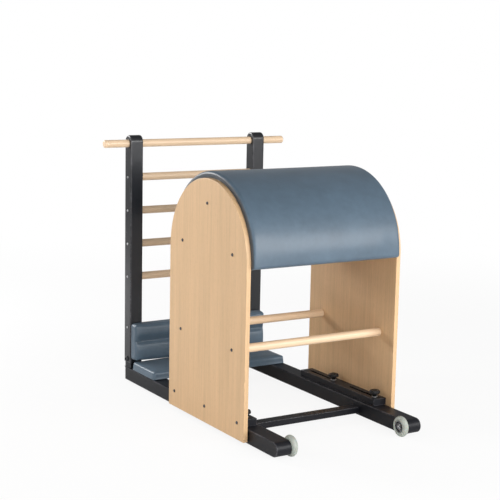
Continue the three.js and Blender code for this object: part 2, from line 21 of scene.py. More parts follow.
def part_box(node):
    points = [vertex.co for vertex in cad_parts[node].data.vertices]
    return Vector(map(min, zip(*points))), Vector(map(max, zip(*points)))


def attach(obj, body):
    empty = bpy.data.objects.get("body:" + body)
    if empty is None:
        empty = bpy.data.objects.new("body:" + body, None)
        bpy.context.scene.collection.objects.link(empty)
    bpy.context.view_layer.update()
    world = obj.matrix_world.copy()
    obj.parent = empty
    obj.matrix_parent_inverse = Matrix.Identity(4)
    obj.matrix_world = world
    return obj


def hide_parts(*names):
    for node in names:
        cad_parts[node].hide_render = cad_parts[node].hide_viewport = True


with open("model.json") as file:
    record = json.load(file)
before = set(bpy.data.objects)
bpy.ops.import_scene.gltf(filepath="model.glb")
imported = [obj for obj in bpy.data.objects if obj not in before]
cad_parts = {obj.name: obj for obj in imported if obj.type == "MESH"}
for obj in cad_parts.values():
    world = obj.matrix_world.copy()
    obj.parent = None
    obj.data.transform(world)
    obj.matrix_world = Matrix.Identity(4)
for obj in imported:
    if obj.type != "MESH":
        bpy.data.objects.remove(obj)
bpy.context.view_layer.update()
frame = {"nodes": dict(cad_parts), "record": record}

log = logging.getLogger("ladder_barrel")

BODY_OF = {
    node: body for body, nodes in frame["record"]["behaviour"]["bodies"].items() for node in nodes
}
SIDES = {"left": -1.0, "right": 1.0}
ENDS = ("front", "rear")
WEAR = "wear"
DEPTH = "depth"
FACING = "facing"
FLUTE = "flute"
TINY = 1e-6
SHARP = 40.0

Colour = tuple[float, float, float]
Number = "float | Socket"
Ring = list[bmesh.types.BMVert]
Settings = dict[str, object] | None
Values = dict[int | str, object] | None
Spot = tuple[Sequence[float], Sequence[float]]


class Axis(Enum):
    """The direction in which an outline is pushed or about which a profile is turned."""

    X = 0
    Y = 1
    Z = 2

    def place(self, along: float, first: float, second: float) -> tuple[float, float, float]:
        """The point at a distance along the axis and at two distances across it, in X, Y, Z order."""
        across = [first, second]
        across.insert(self.value, along)
        return tuple(across)

    def across(self, place: Sequence[float]) -> list[float]:
        """A point's two distances across the axis."""
        return [value for index, value in enumerate(place) if index != self.value]


@dataclass(frozen=True)
class Box:
    """The space that a CAD node takes at rest."""

    low: Vector
    high: Vector

    @classmethod
    def of(cls, node: str) -> "Box":
        """The box of the node with that name."""
        return cls(*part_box(node))

    @property
    def centre(self) -> Vector:
        """The middle of the box."""
        return (self.low + self.high) / 2

    @property
    def size(self) -> Vector:
        """The box's three lengths."""
        return self.high - self.low

    @property
    def foot(self) -> Vector:
        """The middle of the box's underside."""
        return Vector((*self.centre.xy, self.low.z))

    def side(self, sign: float) -> float:
        """Where the box ends along X, on the left for a sign of -1 and on the right for 1."""
        return self.high.x if sign > 0 else self.low.x


# Node trees


def sum_of(operation: str, swapped: bool = False) -> Callable[["Socket", Number], "Socket"]:
    """A method that adds a Math node for a sum.

    Args:
        operation: The node's operation.
        swapped: Whether the socket is the second term.

    Returns:
        The method.
    """

    def method(one: "Socket", other: Number) -> "Socket":
        """The node's output."""
        return one.graph.maths(operation, *((other, one) if swapped else (one, other)))

    return method


class Socket:
    """A node's output that takes part in Python sums by adding Math nodes."""

    def __init__(self, graph: "Graph", plug: bpy.types.NodeSocket) -> None:
        """Keeps the output and the graph that it belongs to."""
        self.graph = graph
        self.plug = plug

    __add__ = __radd__ = sum_of("ADD")
    __sub__ = sum_of("SUBTRACT")
    __rsub__ = sum_of("SUBTRACT", swapped=True)
    __mul__ = __rmul__ = sum_of("MULTIPLY")
    __truediv__ = sum_of("DIVIDE")
    __pow__ = sum_of("POWER")


class Graph:
    """A node tree that is written as a few calls and sums."""

    def __init__(self, tree: bpy.types.NodeTree) -> None:
        """Starts from an empty tree."""
        self.tree = tree
        tree.nodes.clear()

    def feed(self, plug: bpy.types.NodeSocket, value: object) -> None:
        """Sets an input to a constant or links a socket to it."""
        if isinstance(value, Socket):
            self.tree.links.new(value.plug, plug)
        else:
            plug.default_value = value

    def node(self, kind: str, settings: Settings = None, values: Values = None) -> bpy.types.Node:
        """Adds a node.

        Args:
            kind: The node's type.
            settings: Its properties, which are set first.
            values: What its inputs hold, as constants or as sockets to link.

        Returns:
            The node.
        """
        made = self.tree.nodes.new(kind)
        for name, value in (settings or {}).items():
            setattr(made, name, value)
        for key, value in (values or {}).items():
            self.feed(made.inputs[key], value)
        return made

    def out(
        self, kind: str, settings: Settings = None, values: Values = None, output: int | str = 0
    ) -> Socket:
        """Adds a node as node() does, and gives the output with that name or number."""
        return Socket(self, self.node(kind, settings, values).outputs[output])

    def maths(self, operation: str, *terms: Number) -> Socket:
        """Adds a Math node with that operation and those inputs."""
        return self.out("ShaderNodeMath", {"operation": operation}, dict(enumerate(terms)))

    def split(self, vector: Socket) -> list[Socket]:
        """A vector's three parts."""
        parts = self.node("ShaderNodeSeparateXYZ", None, {0: vector})
        return [Socket(self, plug) for plug in parts.outputs]


class Paint(Graph):
    """A material's node tree round one Principled shader."""

    def __init__(self, name: str) -> None:
        """Makes the material with that name."""
        self.material = bpy.data.materials.new(name)
        self.material.use_nodes = True
        super().__init__(self.material.node_tree)
        self.shader = self.out("ShaderNodeBsdfPrincipled")
        self.surface = self.node("ShaderNodeOutputMaterial", None, {0: self.shader})
        self.object_place = self.out("ShaderNodeTexCoord", output="Object")

    def set(self, **values: object) -> None:
        """Fills the shader's sockets, named with low lines for spaces."""
        for name, value in values.items():
            plug = self.shader.plug.node.inputs[name.replace("_", " ")]
            self.feed(plug, (*value, 1.0) if isinstance(value, tuple) else value)

    def noise(
        self, scale: tuple[float, float, float] | float, detail: float = 2.0, blur: float = 0.5
    ) -> Socket:
        """Soft noise.

        Args:
            scale: Cells per metre, the same all round or along each axis.
            detail: How many finer layers lie on it.
            blur: The share of each finer layer.

        Returns:
            A number about a half.
        """
        spread = (scale,) * 3 if isinstance(scale, float) else scale
        place = self.out("ShaderNodeMapping", None, {"Vector": self.object_place, "Scale": spread})
        values = {"Vector": place, "Scale": 1.0, "Detail": detail, "Roughness": blur}
        return self.out("ShaderNodeTexNoise", None, values)

    def cells(self, scale: float) -> Socket:
        """The distance to the nearest cell's middle, with that many cells per metre."""
        values = {"Vector": self.object_place, "Scale": scale}
        return self.out("ShaderNodeTexVoronoi", {"feature": "SMOOTH_F1"}, values)

    def attribute(self, name: str) -> Socket:
        """A number that the mesh holds under that name."""
        return self.out("ShaderNodeAttribute", {"attribute_name": name}, output="Fac")

    def span(self, value: Socket, low: float, high: float) -> Socket:
        """0 below low, 1 above high and smooth between."""
        values = {"Value": value, "From Min": low, "From Max": high}
        return self.out("ShaderNodeMapRange", {"interpolation_type": "SMOOTHSTEP"}, values)

    def mix(self, share: Number, start: Colour | Socket, end: Colour | Socket) -> Socket:
        """A colour between two colours, by the node's colour inputs 6 and 7 and its output 2."""
        ends = [c if isinstance(c, Socket) else (*c, 1.0) for c in (start, end)]
        values = {0: share, 6: ends[0], 7: ends[1]}
        return self.out("ShaderNodeMix", {"data_type": "RGBA"}, values, output=2)

    def shades(self, value: Socket, colour: Colour, stops: dict[float, float]) -> Socket:
        """Shades of one colour.

        Args:
            value: What picks the shade.
            colour: The colour.
            stops: At each value, how light the colour is there.

        Returns:
            The shade.
        """
        shade = self.out("ShaderNodeValToRGB", None, {"Fac": value})
        ramp = shade.plug.node.color_ramp
        while len(ramp.elements) < len(stops):
            ramp.elements.new(1.0)
        for element, (place, factor) in zip(ramp.elements, stops.items(), strict=True):
            element.position = place
            element.color = (*scaled(colour, factor), 1.0)
        return shade

    def bump(self, height: Socket, distance: float, strength: float = 0.5) -> Socket:
        """A surface normal from a height between 0 and 1, times a distance in metres."""
        values = {"Height": height, "Distance": distance, "Strength": strength}
        return self.out("ShaderNodeBump", None, values, output="Normal")


def tone(red: int, green: int, blue: int) -> Colour:
    """The linear colour of three screen values from 0 to 255."""
    return tuple(
        c / 12.92 if c <= 0.04045 else ((c + 0.055) / 1.055) ** 2.4
        for c in (red / 255, green / 255, blue / 255)
    )


def scaled(colour: Colour, factor: float) -> Colour:
    """A colour made lighter or darker."""
    return tuple(c * factor for c in colour)


# Finishes


class Finish:
    """What a surface is made of. Each finish paints its material once."""

    name = ""
    slot = ""
    _made: dict["Finish", bpy.types.Material] = {}

    def material(self) -> bpy.types.Material:
        """The finish's material."""
        if self not in Finish._made:
            paint = Paint(self.name)
            self.fill(paint)
            Finish._made[self] = paint.material
        return Finish._made[self]

    def fill(self, paint: Paint) -> None:
        """Fills the material's shader."""
        raise NotImplementedError


@dataclass(frozen=True)
class Vinyl(Finish):
    """Stretched upholstery vinyl with a fine pebbled grain and a faint cloudiness, and with end_shade
    set, painted shade on the faces that look along X.
    """

    colour: Colour = tone(73, 91, 106)
    end_shade_colour: Colour = tone(34, 36, 40)
    end_shade: float = 0.0
    name = "vinyl_slate"
    slot = "vinyl"

    def fill(self, paint: Paint) -> None:
        """Fills the material's shader."""
        cloud = paint.noise(7.0, 3.0, 0.6)
        mottle = paint.noise(46.0, 4.0, 0.65)
        shade = cloud * 0.55 + mottle * 0.3 + paint.noise(420.0) * 0.15
        rubbed = paint.attribute(WEAR) * paint.span(mottle, 0.35, 0.7) * 0.25
        colour = paint.shades(shade, self.colour, {0.34: 0.84, 0.5: 1.0, 0.66: 1.17})
        colour = paint.mix(rubbed, colour, scaled(self.colour, 1.6))
        # Painted shade: faces that look along X, the cover's two ends, are drawn darker towards a dark
        # grey.
        if self.end_shade:
            facing = paint.split(paint.out("ShaderNodeNewGeometry", output="Normal"))
            end = paint.span(paint.maths("ABSOLUTE", facing[0]), 0.72, 0.96) * self.end_shade
            colour = paint.mix(end, colour, self.end_shade_colour)
        relief = paint.cells(780.0) * 0.75 + paint.noise(60.0, 5.0, 0.7) * 0.25
        paint.set(
            Base_Color=colour,
            Roughness=0.37 + mottle * 0.13 - rubbed * 0.1,
            Normal=paint.bump(relief, 0.00022),
            Coat_Weight=0.12,
            Coat_Roughness=0.22,
            Sheen_Weight=0.05,
        )


@dataclass(frozen=True)
class Laminate(Finish):
    """Board faced with a beech decor: long upright grain, short pores and a satin film."""

    colour: Colour = tone(209, 173, 131)
    name = "laminate_beech"
    slot = "laminate"

    def fill(self, paint: Paint) -> None:
        """Fills the material's shader."""
        streaks = paint.noise((190.0, 190.0, 3.2), 4.0, 0.6)
        figure = paint.noise((30.0, 30.0, 1.1), 3.0, 0.55) * 0.4 + streaks * 0.6
        fleck = paint.span(paint.noise((760.0, 760.0, 46.0), 1.0), 0.6, 0.72) * 0.42
        colour = paint.shades(figure, self.colour, {0.3: 0.8, 0.46: 0.94, 0.56: 1.0, 0.72: 1.09})
        paint.set(
            Base_Color=paint.mix(fleck, colour, scaled(self.colour, 0.62)),
            Roughness=0.46 + streaks * 0.1,
            Normal=paint.bump(1 - fleck, 0.00012),
            Coat_Weight=0.06,
            Coat_Roughness=0.35,
        )


@dataclass(frozen=True)
class EdgeBand(Finish):
    """The glued edge strip of a laminated board, lighter than the face and lined along its run."""

    colour: Colour = tone(250, 222, 180)
    name = "edge_band"
    slot = "laminate"

    def fill(self, paint: Paint) -> None:
        """Fills the material's shader."""
        lines = paint.noise((620.0, 5.0, 5.0), 3.0)
        patch = paint.noise(16.0)
        strip = paint.shades(lines * 0.7 + patch * 0.3, self.colour, {0.32: 0.86, 0.5: 1.0, 0.7: 1.08})
        glue = 1 - paint.span(paint.attribute(WEAR), 0.75, 1.0) * 0.16
        paint.set(
            Base_Color=paint.mix(glue, scaled(self.colour, 0.5), strip),
            Roughness=0.42 + patch * 0.12,
            Normal=paint.bump(lines, 0.00008),
        )


@dataclass(frozen=True)
class Dowel(Finish):
    """Lacquered round beech that runs across the apparatus."""

    colour: Colour = tone(225, 196, 163)
    name = "dowel_beech"
    slot = "dowel"

    def fill(self, paint: Paint) -> None:
        """Fills the material's shader."""
        lines = paint.noise((7.0, 420.0, 420.0), 3.0, 0.6)
        figure = paint.noise((2.4, 60.0, 60.0), 3.0, 0.55) * 0.55 + lines * 0.45
        fleck = paint.span(paint.noise((170.0, 900.0, 900.0), 1.0), 0.62, 0.74) * 0.25
        colour = paint.shades(figure, self.colour, {0.3: 0.86, 0.48: 0.96, 0.6: 1.0, 0.75: 1.04})
        paint.set(
            Base_Color=paint.mix(fleck, colour, scaled(self.colour, 0.6)),
            Roughness=0.38 + lines * 0.16,
            Normal=paint.bump(lines, 0.0001),
            Coat_Weight=0.2,
            Coat_Roughness=0.22,
        )


@dataclass(frozen=True)
class EndGrain(Finish):
    """The cut end of a dowel, with its growth rings."""

    colour: Colour = tone(206, 172, 132)
    name = "dowel_end_grain"
    slot = "dowel"

    def fill(self, paint: Paint) -> None:
        """Fills the material's shader."""
        phase = paint.attribute(DEPTH) * 4200.0 + paint.noise(60.0) * 9.0
        rings = paint.maths("SINE", phase) * 0.5 + 0.5
        paint.set(
            Base_Color=paint.mix(rings, scaled(self.colour, 0.86), scaled(self.colour, 1.05)),
            Roughness=0.5 + rings * 0.12,
            Normal=paint.bump(rings, 0.0001),
        )


@dataclass(frozen=True)
class PowderCoat(Finish):
    """Black powder coat on steel tube, with its faint orange peel and edges lightened partly as rubbed
    wear and partly as a painted highlight.
    """

    colour: Colour = tone(18, 19, 25)
    gloss: float = 0.52
    edge_wear_and_highlight: float = 0.55
    roughness: float = 0.29
    name: str = "powder_coat_black"
    slot = "black_steel"

    def fill(self, paint: Paint) -> None:
        """Fills the material's shader."""
        patch = paint.noise(24.0, 4.0, 0.65)
        speckle = paint.noise(240.0) * 0.5 + patch * 0.5
        # Edges lighten towards a grey: partly rubbed wear, partly a painted highlight along the edges.
        rubbed = paint.attribute(WEAR) * paint.span(speckle, 0.38, 0.66) * self.edge_wear_and_highlight
        colour = paint.shades(patch, self.colour, {0.35: 0.93, 0.6: 1.0, 0.75: 1.08})
        paint.set(
            Base_Color=paint.mix(rubbed, colour, tone(104, 103, 108)),
            Roughness=self.roughness + patch * 0.05 - rubbed * 0.06,
            Normal=paint.bump(paint.noise(620.0), 0.00008, 0.3),
            Specular_IOR_Level=self.gloss,
        )


# The rails' coat lightens its edges more: partly rubbed wear, partly a painted highlight.
RAIL_COAT = PowderCoat(gloss=0.28, edge_wear_and_highlight=0.7, roughness=0.4, name="powder_coat_rails")


@dataclass(frozen=True)
class Plywood(Finish):
    """The birch face of a plywood board or of the bent shell."""

    colour: Colour = tone(206, 176, 136)
    name = "plywood_face"
    slot = "plywood"

    def fill(self, paint: Paint) -> None:
        """Fills the material's shader."""
        flame = paint.noise((3.0, 26.0, 26.0), 4.0, 0.6)
        pores = paint.noise((60.0, 520.0, 520.0))
        fleck = paint.span(pores, 0.6, 0.75) * 0.3
        colour = paint.shades(flame, self.colour, {0.3: 0.74, 0.52: 1.0, 0.72: 1.08})
        paint.set(
            Base_Color=paint.mix(fleck, colour, scaled(self.colour, 0.55)),
            Roughness=0.62 + flame * 0.12,
            Normal=paint.bump(pores, 0.00015),
        )


@dataclass(frozen=True)
class PlyEdge(Finish):
    """The cut edge of a plywood board, whose layers lie one over the other."""

    layer: float = 0.0014
    colour: Colour = tone(196, 160, 116)
    name = "plywood_edge"
    slot = "plywood"

    def fill(self, paint: Paint) -> None:
        """Fills the material's shader."""
        phase = paint.attribute(DEPTH) * (math.pi / self.layer) + paint.noise(30.0) * 1.6
        band = paint.span(paint.maths("SINE", phase), -0.25, 0.25)
        fibres = paint.noise(380.0)
        colour = paint.mix(band, scaled(self.colour, 0.52), self.colour)
        paint.set(
            Base_Color=paint.mix(fibres * 0.4, colour, scaled(self.colour, 0.7)),
            Roughness=0.7 + fibres * 0.1,
            Normal=paint.bump(band * 0.6 + fibres * 0.4, 0.0003),
        )


@dataclass(frozen=True)
class Rubber(Finish):
    """Matt black rubber."""

    colour: Colour = tone(40, 40, 41)
    name = "rubber_black"
    slot = "rubber"

    def fill(self, paint: Paint) -> None:
        """Fills the material's shader."""
        dust = paint.noise(70.0, 3.0)
        paint.set(
            Base_Color=paint.mix(paint.span(dust, 0.4, 0.8) * 0.4, self.colour, tone(88, 86, 82)),
            Roughness=0.72 + dust * 0.14,
            Normal=paint.bump(paint.noise(900.0, 1.0), 0.0002),
        )


@dataclass(frozen=True)
class Tread(Finish):
    """Pale cast polyurethane of a wheel, a little scuffed on its running face."""

    colour: Colour = tone(162, 168, 160)
    name = "tread_pale"
    slot = "tread"

    def fill(self, paint: Paint) -> None:
        """Fills the material's shader."""
        cloud = paint.noise(55.0, 3.0)
        scuff = paint.noise((260.0, 90.0, 90.0), 3.0)
        dirt = paint.attribute(WEAR) * paint.span(scuff, 0.48, 0.7) * 0.35
        clean = paint.shades(cloud, self.colour, {0.35: 0.9, 0.65: 1.05})
        paint.set(
            Base_Color=paint.mix(dirt, clean, tone(128, 126, 118)),
            Roughness=0.34 + dirt * 0.5 + cloud * 0.08,
            Normal=paint.bump(scuff, 0.0001, 0.4),
            Subsurface_Weight=0.08,
            Subsurface_Scale=0.004,
        )


@dataclass(frozen=True)
class Zinc(Finish):
    """Bright zinc plating with fine turning marks."""

    colour: Colour = tone(196, 198, 200)
    name: str = "zinc_bright"
    slot = "zinc"

    def fill(self, paint: Paint) -> None:
        """Fills the material's shader."""
        stain = paint.noise(120.0, 3.0)
        paint.set(
            Base_Color=paint.shades(stain, self.colour, {0.3: 0.7, 0.6: 1.0}),
            Metallic=1.0,
            Roughness=0.26 + stain * 0.22,
            Normal=paint.bump(paint.noise(1400.0), 0.00006, 0.4),
        )


PALE_ZINC = Zinc(tone(236, 237, 239), "zinc_pale")
DULL_ZINC = Zinc(tone(96, 96, 100), "screw_dull_zinc")
CAST_METAL = Zinc(tone(138, 140, 144), "hub_cast_metal")


@dataclass(frozen=True)
class MouldedPlastic(Finish):
    """Black moulded plastic with a fine spark-eroded skin."""

    colour: Colour = tone(12, 12, 13)
    name = "plastic_black"
    slot = "black_plastic"

    def fill(self, paint: Paint) -> None:
        """Fills the material's shader."""
        haze = paint.noise(90.0, 3.0)
        rubbed = paint.attribute(WEAR) * 0.22 + haze * 0.03
        paint.set(
            Base_Color=paint.mix(rubbed, self.colour, tone(84, 84, 86)),
            Roughness=0.24 + haze * 0.14,
            Normal=paint.bump(paint.noise(1500.0, 1.0), 0.00012),
            Specular_IOR_Level=0.22,
        )


# Meshes


def stand(name: str, data: bpy.types.ID) -> bpy.types.Object:
    """A new object that holds the data and is in the scene."""
    made = bpy.data.objects.new(name, data)
    bpy.context.scene.collection.objects.link(made)
    return made


def as_mesh(work: bmesh.types.BMesh, name: str) -> bpy.types.Mesh:
    """Ends a mesh under construction as a mesh with that name."""
    mesh = bpy.data.meshes.new(name)
    work.to_mesh(mesh)
    work.free()
    return mesh


def smooth(mesh: bpy.types.Mesh, sharp: float) -> None:
    """Shades a mesh smooth, but for edges past an angle in degrees."""
    mesh.shade_smooth()
    mesh.set_sharp_from_angle(angle=math.radians(sharp))


def corners_of(low: Sequence[float], high: Sequence[float], out: float = 0.0) -> list[Sequence[float]]:
    """A rectangle's corners in anticlockwise order, moved outwards by a distance."""
    left, bottom, right, top = low[0] - out, low[1] - out, high[0] + out, high[1] + out
    return [(left, bottom), (right, bottom), (right, top), (left, top)]


def mirrored(profile: Sequence[tuple[float, ...]]) -> list[tuple[float, ...]]:
    """A profile, followed by its mirror image along the axis in reverse order."""
    return [*profile, *[(radius, -along, *worn) for radius, along, *worn in reversed(profile)]]


@dataclass(frozen=True)
class Outline:
    """A rectangle with a radius at each corner, in anticlockwise order from the low one."""

    low: Sequence[float]
    high: Sequence[float]
    radii: Sequence[float]
    widest_edge: float = 0.012
    least_radius: float = 0.0004
    least_kept: float = 0.0001
    fine_steps: int = 4
    broad_step: float = 0.007

    def ring(self, inset: float) -> list[tuple[float, float, float]]:
        """The outline moved inwards.

        Args:
            inset: How far inside the outline the ring lies.

        Returns:
            Points as two distances and how much of a worn edge each is.
        """
        places = [Vector(corner) for corner in corners_of(self.low, self.high)]
        points: list[tuple[float, float, float]] = []
        for index, given in enumerate(self.radii):
            before = (places[index - 1] - places[index]).normalized()
            after = (places[(index + 1) % len(places)] - places[index]).normalized()
            radius = max(given, self.least_radius)
            kept = max(radius - inset, self.least_kept)
            middle = places[index] + (before + after) * max(radius, inset + self.least_kept)
            start = math.atan2(before.x, -before.y)
            is_edge = given <= self.widest_edge
            broad_steps = max(6, round(given * math.pi / 2 / self.broad_step))
            steps = self.fine_steps if is_edge else broad_steps
            for step in range(steps + 1):
                angle = start + math.pi / 2 * step / steps
                reach = middle + Vector((math.cos(angle), math.sin(angle))) * kept
                wear = math.sin(math.pi * step / steps) if is_edge else 0.0
                points.append((reach.x, reach.y, wear))
        return points


class Shape:
    """A mesh under construction, whose points know their wear and their depth in the board."""

    def __init__(self) -> None:
        """Starts an empty mesh."""
        self.mesh = bmesh.new()
        self.wear = self.mesh.verts.layers.float.new(WEAR)
        self.depth = self.mesh.verts.layers.float.new(DEPTH)

    def point(self, place: Sequence[float], wear: float = 0.0, depth: float = 0.0) -> bmesh.types.BMVert:
        """Adds a point."""
        vertex = self.mesh.verts.new(place)
        vertex[self.wear] = wear
        vertex[self.depth] = depth
        return vertex

    def face(self, corners: Sequence[bmesh.types.BMVert], material: int = 0) -> None:
        """Adds a face with that material number."""
        self.mesh.faces.new(corners).material_index = material

    def ring(
        self,
        radius: float | Callable[[float], float],
        along: float,
        axis: Axis,
        centre: Sequence[float],
        steps: int,
        worn: float = 0.0,
    ) -> Ring:
        """Adds a ring of points about an axis.

        Args:
            radius: Its radius, or what gives the radius at an angle.
            along: Its place along the axis.
            axis: The axis.
            centre: The point through which the axis runs.
            steps: How many points it has.
            worn: How much of a worn edge it is.

        Returns:
            The points, which have their distance from the axis as their depth.
        """
        first, second = axis.across(centre)
        points = []
        for step in range(steps):
            angle = 2 * math.pi * step / steps
            reach = radius(angle) if callable(radius) else radius
            place = axis.place(
                centre[axis.value] + along,
                first + reach * math.cos(angle),
                second + reach * math.sin(angle),
            )
            points.append(self.point(place, worn, reach))
        return points

    def bridge(self, rings: Sequence[Ring], material: int = 0) -> None:
        """Joins rings of points by quads, or by triangles to a ring that is one point.

        Args:
            rings: Rings of points, all with as many points where they have more than one.
            material: The faces' material number.
        """
        for one, two in zip(rings, rings[1:]):
            count = max(len(one), len(two))
            for index in range(count):
                after = (index + 1) % count
                if len(one) == 1:
                    self.face((one[0], two[index], two[after]), material)
                elif len(two) == 1:
                    self.face((two[0], one[index], one[after]), material)
                else:
                    self.face((one[index], one[after], two[after], two[index]), material)

    def cap(self, rings: Sequence[Ring], material: int = 0) -> None:
        """Adds a face over the first and one over the last of some rings."""
        self.face(rings[0], material)
        self.face(rings[-1], material)

    def push(
        self, outline: Outline, axis: Axis, low: float, high: float, ease: float, wall_material: int
    ) -> "Shape":
        """Pushes an outline along an axis into a board or bar with eased edges.

        Args:
            outline: The outline, in the two axes across.
            axis: The direction of the push.
            low: Where it starts along the axis.
            high: Where it ends.
            ease: The radius that eases its edges.
            wall_material: The material number of all but the two end faces.

        Returns:
            The shape itself.
        """
        nook = ease * (1 - math.sqrt(0.5))
        profile = [
            (2 * ease, 0.0, 0.0),
            (ease, 0.0, 0.5),
            (nook, nook, 1.0),
            (0.0, ease, 0.5),
            (0.0, 2 * ease, 0.0),
        ]
        stations = profile + [(inset, high - low - rise, worn) for inset, rise, worn in profile[::-1]]
        rings = []
        for inset, depth, worn in stations:
            edge = 1.0 if inset < 2 * ease else 0.0
            rings.append([
                self.point(axis.place(low + depth, a, b), max(wear * edge, worn), depth)
                for a, b, wear in outline.ring(inset)
            ])
        self.bridge(rings[:2])
        self.bridge(rings[1:-1], wall_material)
        self.bridge(rings[-2:])
        self.cap(rings)
        return self

    def turn(
        self,
        profile: Sequence[tuple],
        axis: Axis,
        centre: Sequence[float],
        steps: int = 48,
        end_material: int = 0,
        capped: bool = False,
    ) -> "Shape":
        """Turns a profile about an axis.

        Args:
            profile: Points as radius, as ring() takes it, place along the axis and perhaps wear.
            axis: The axis.
            centre: The point through which it runs.
            steps: Points in each ring.
            end_material: The material number of faces that lie across the axis at the two ends.
            capped: Whether a face closes the first ring and another the last.

        Returns:
            The shape itself.
        """
        rings = [
            self.ring(radius, along, axis, centre, 1 if radius == 0 else steps, sum(worn))
            for radius, along, *worn in profile
        ]
        last = len(rings) - 2
        for index, pair in enumerate(zip(rings, rings[1:])):
            flat = abs(profile[index][1] - profile[index + 1][1]) < TINY
            self.bridge(pair, end_material if flat and index in (0, last) else 0)
        if capped:
            self.cap(rings)
        return self

    def end(self, name: str) -> bpy.types.Mesh:
        """Ends the shape as a mesh whose faces all look outwards."""
        bmesh.ops.remove_doubles(self.mesh, verts=self.mesh.verts, dist=TINY)
        bmesh.ops.recalc_face_normals(self.mesh, faces=self.mesh.faces)
        return as_mesh(self.mesh, name)

    def finish(self, node: str, suffix: str, finishes: Sequence[Finish], sharp: float = SHARP) -> None:
        """Makes the shape the piece that stands for a CAD node.

        Args:
            node: The node.
            suffix: What the piece's name adds to the node's.
            finishes: The finishes, in the order of the faces' material numbers.
            sharp: The angle in degrees past which an edge is drawn sharp.
        """
        name = f"{node}_{suffix}"
        dress(name, self.end(name), finishes, BODY_OF[node], [node], sharp)


def dress(
    name: str,
    mesh: bpy.types.Mesh,
    finishes: Sequence[Finish],
    body: str,
    replaces: Sequence[str] = (),
    sharp: float = SHARP,
) -> None:
    """Makes a mesh a piece of the object.

    Args:
        name: The piece's name.
        mesh: Its mesh.
        finishes: The finishes, in the order of the faces' material numbers.
        body: The CAD body that it rides on.
        replaces: The CAD nodes that it stands for.
        sharp: The angle in degrees past which an edge is drawn sharp.
    """
    mesh.materials.clear()
    for finish in finishes:
        mesh.materials.append(finish.material())
    smooth(mesh, sharp)
    piece = stand(name, mesh)
    piece.modifiers.new("flat_faces_first", "WEIGHTED_NORMAL").keep_sharp = True
    bake(piece)
    settle(piece, body, replaces)


def bake(piece: bpy.types.Object) -> None:
    """Turns a piece and its modifiers into one plain mesh."""
    evaluated = piece.evaluated_get(bpy.context.evaluated_depsgraph_get())
    old = piece.data
    piece.data = bpy.data.meshes.new_from_object(evaluated)
    piece.modifiers.clear()
    piece.data.name = piece.name
    if old.users == 0:
        bpy.data.meshes.remove(old)


def settle(piece: bpy.types.Object, body: str, replaces: Sequence[str] = ()) -> None:
    """Puts a finished piece on its body and in place of its CAD nodes."""
    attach(piece, body)
    if replaces:
        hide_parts(*replaces)
    log.info("%s: %d faces on %s", piece.name, len(piece.data.polygons), body)


def extrude(
    node: str,
    suffix: str,
    axis: Axis,
    radii: Sequence[float],
    ease: float,
    finishes: Sequence[Finish],
) -> None:
    """Makes the piece that stands for a CAD node with the form of a pushed rectangle.

    Args:
        node: The node.
        suffix: What the piece's name adds to the node's.
        axis: The direction of the push.
        radii: The corners' radii, anticlockwise from the low corner.
        ease: The radius that eases its edges.
        finishes: The finish of the two end faces and, where another follows, that of the walls.
    """
    box = Box.of(node)
    outline = Outline(axis.across(box.low), axis.across(box.high), radii)
    low, high = box.low[axis.value], box.high[axis.value]
    Shape().push(outline, axis, low, high, ease, len(finishes) - 1).finish(node, suffix, finishes)


def recut(node: str, suffix: str, ease: float, finish: Finish) -> None:
    """Makes a piece with the form of a CAD node and eased edges.

    Args:
        node: The node that it copies and stands for.
        suffix: What the piece's name adds to the node's.
        ease: The radius that eases its edges.
        finish: Its finish.
    """
    flat, steep = math.radians(1), math.radians(50)
    same_place = 1e-5
    margin = ease * 0.8
    work = bmesh.new()
    work.from_mesh(frame["nodes"][node].data)
    worn = work.verts.layers.float.new(WEAR)
    bmesh.ops.remove_doubles(work, verts=work.verts, dist=same_place)
    bmesh.ops.dissolve_limit(work, angle_limit=flat, verts=work.verts, edges=work.edges)
    sharp = [
        edge for edge in work.edges if len(edge.link_faces) == 2 and edge.calc_face_angle(0) > steep
    ]
    made = bmesh.ops.bevel(
        work, geom=sharp, offset=ease, segments=3, profile=0.5, affect="EDGES", clamp_overlap=True
    )
    for vertex in made["verts"]:
        vertex[worn] = 1.0
    eased = set(made["faces"])
    flats = [face for face in work.faces if face not in eased]
    bmesh.ops.inset_region(
        work, faces=flats, thickness=margin, use_even_offset=True, use_boundary=True
    )
    for face in flats:
        for vertex in face.verts:
            vertex[worn] = 0.0
    name = f"{node}_{suffix}"
    dress(name, as_mesh(work, name), [finish], BODY_OF[node], [node])


# Repeated details


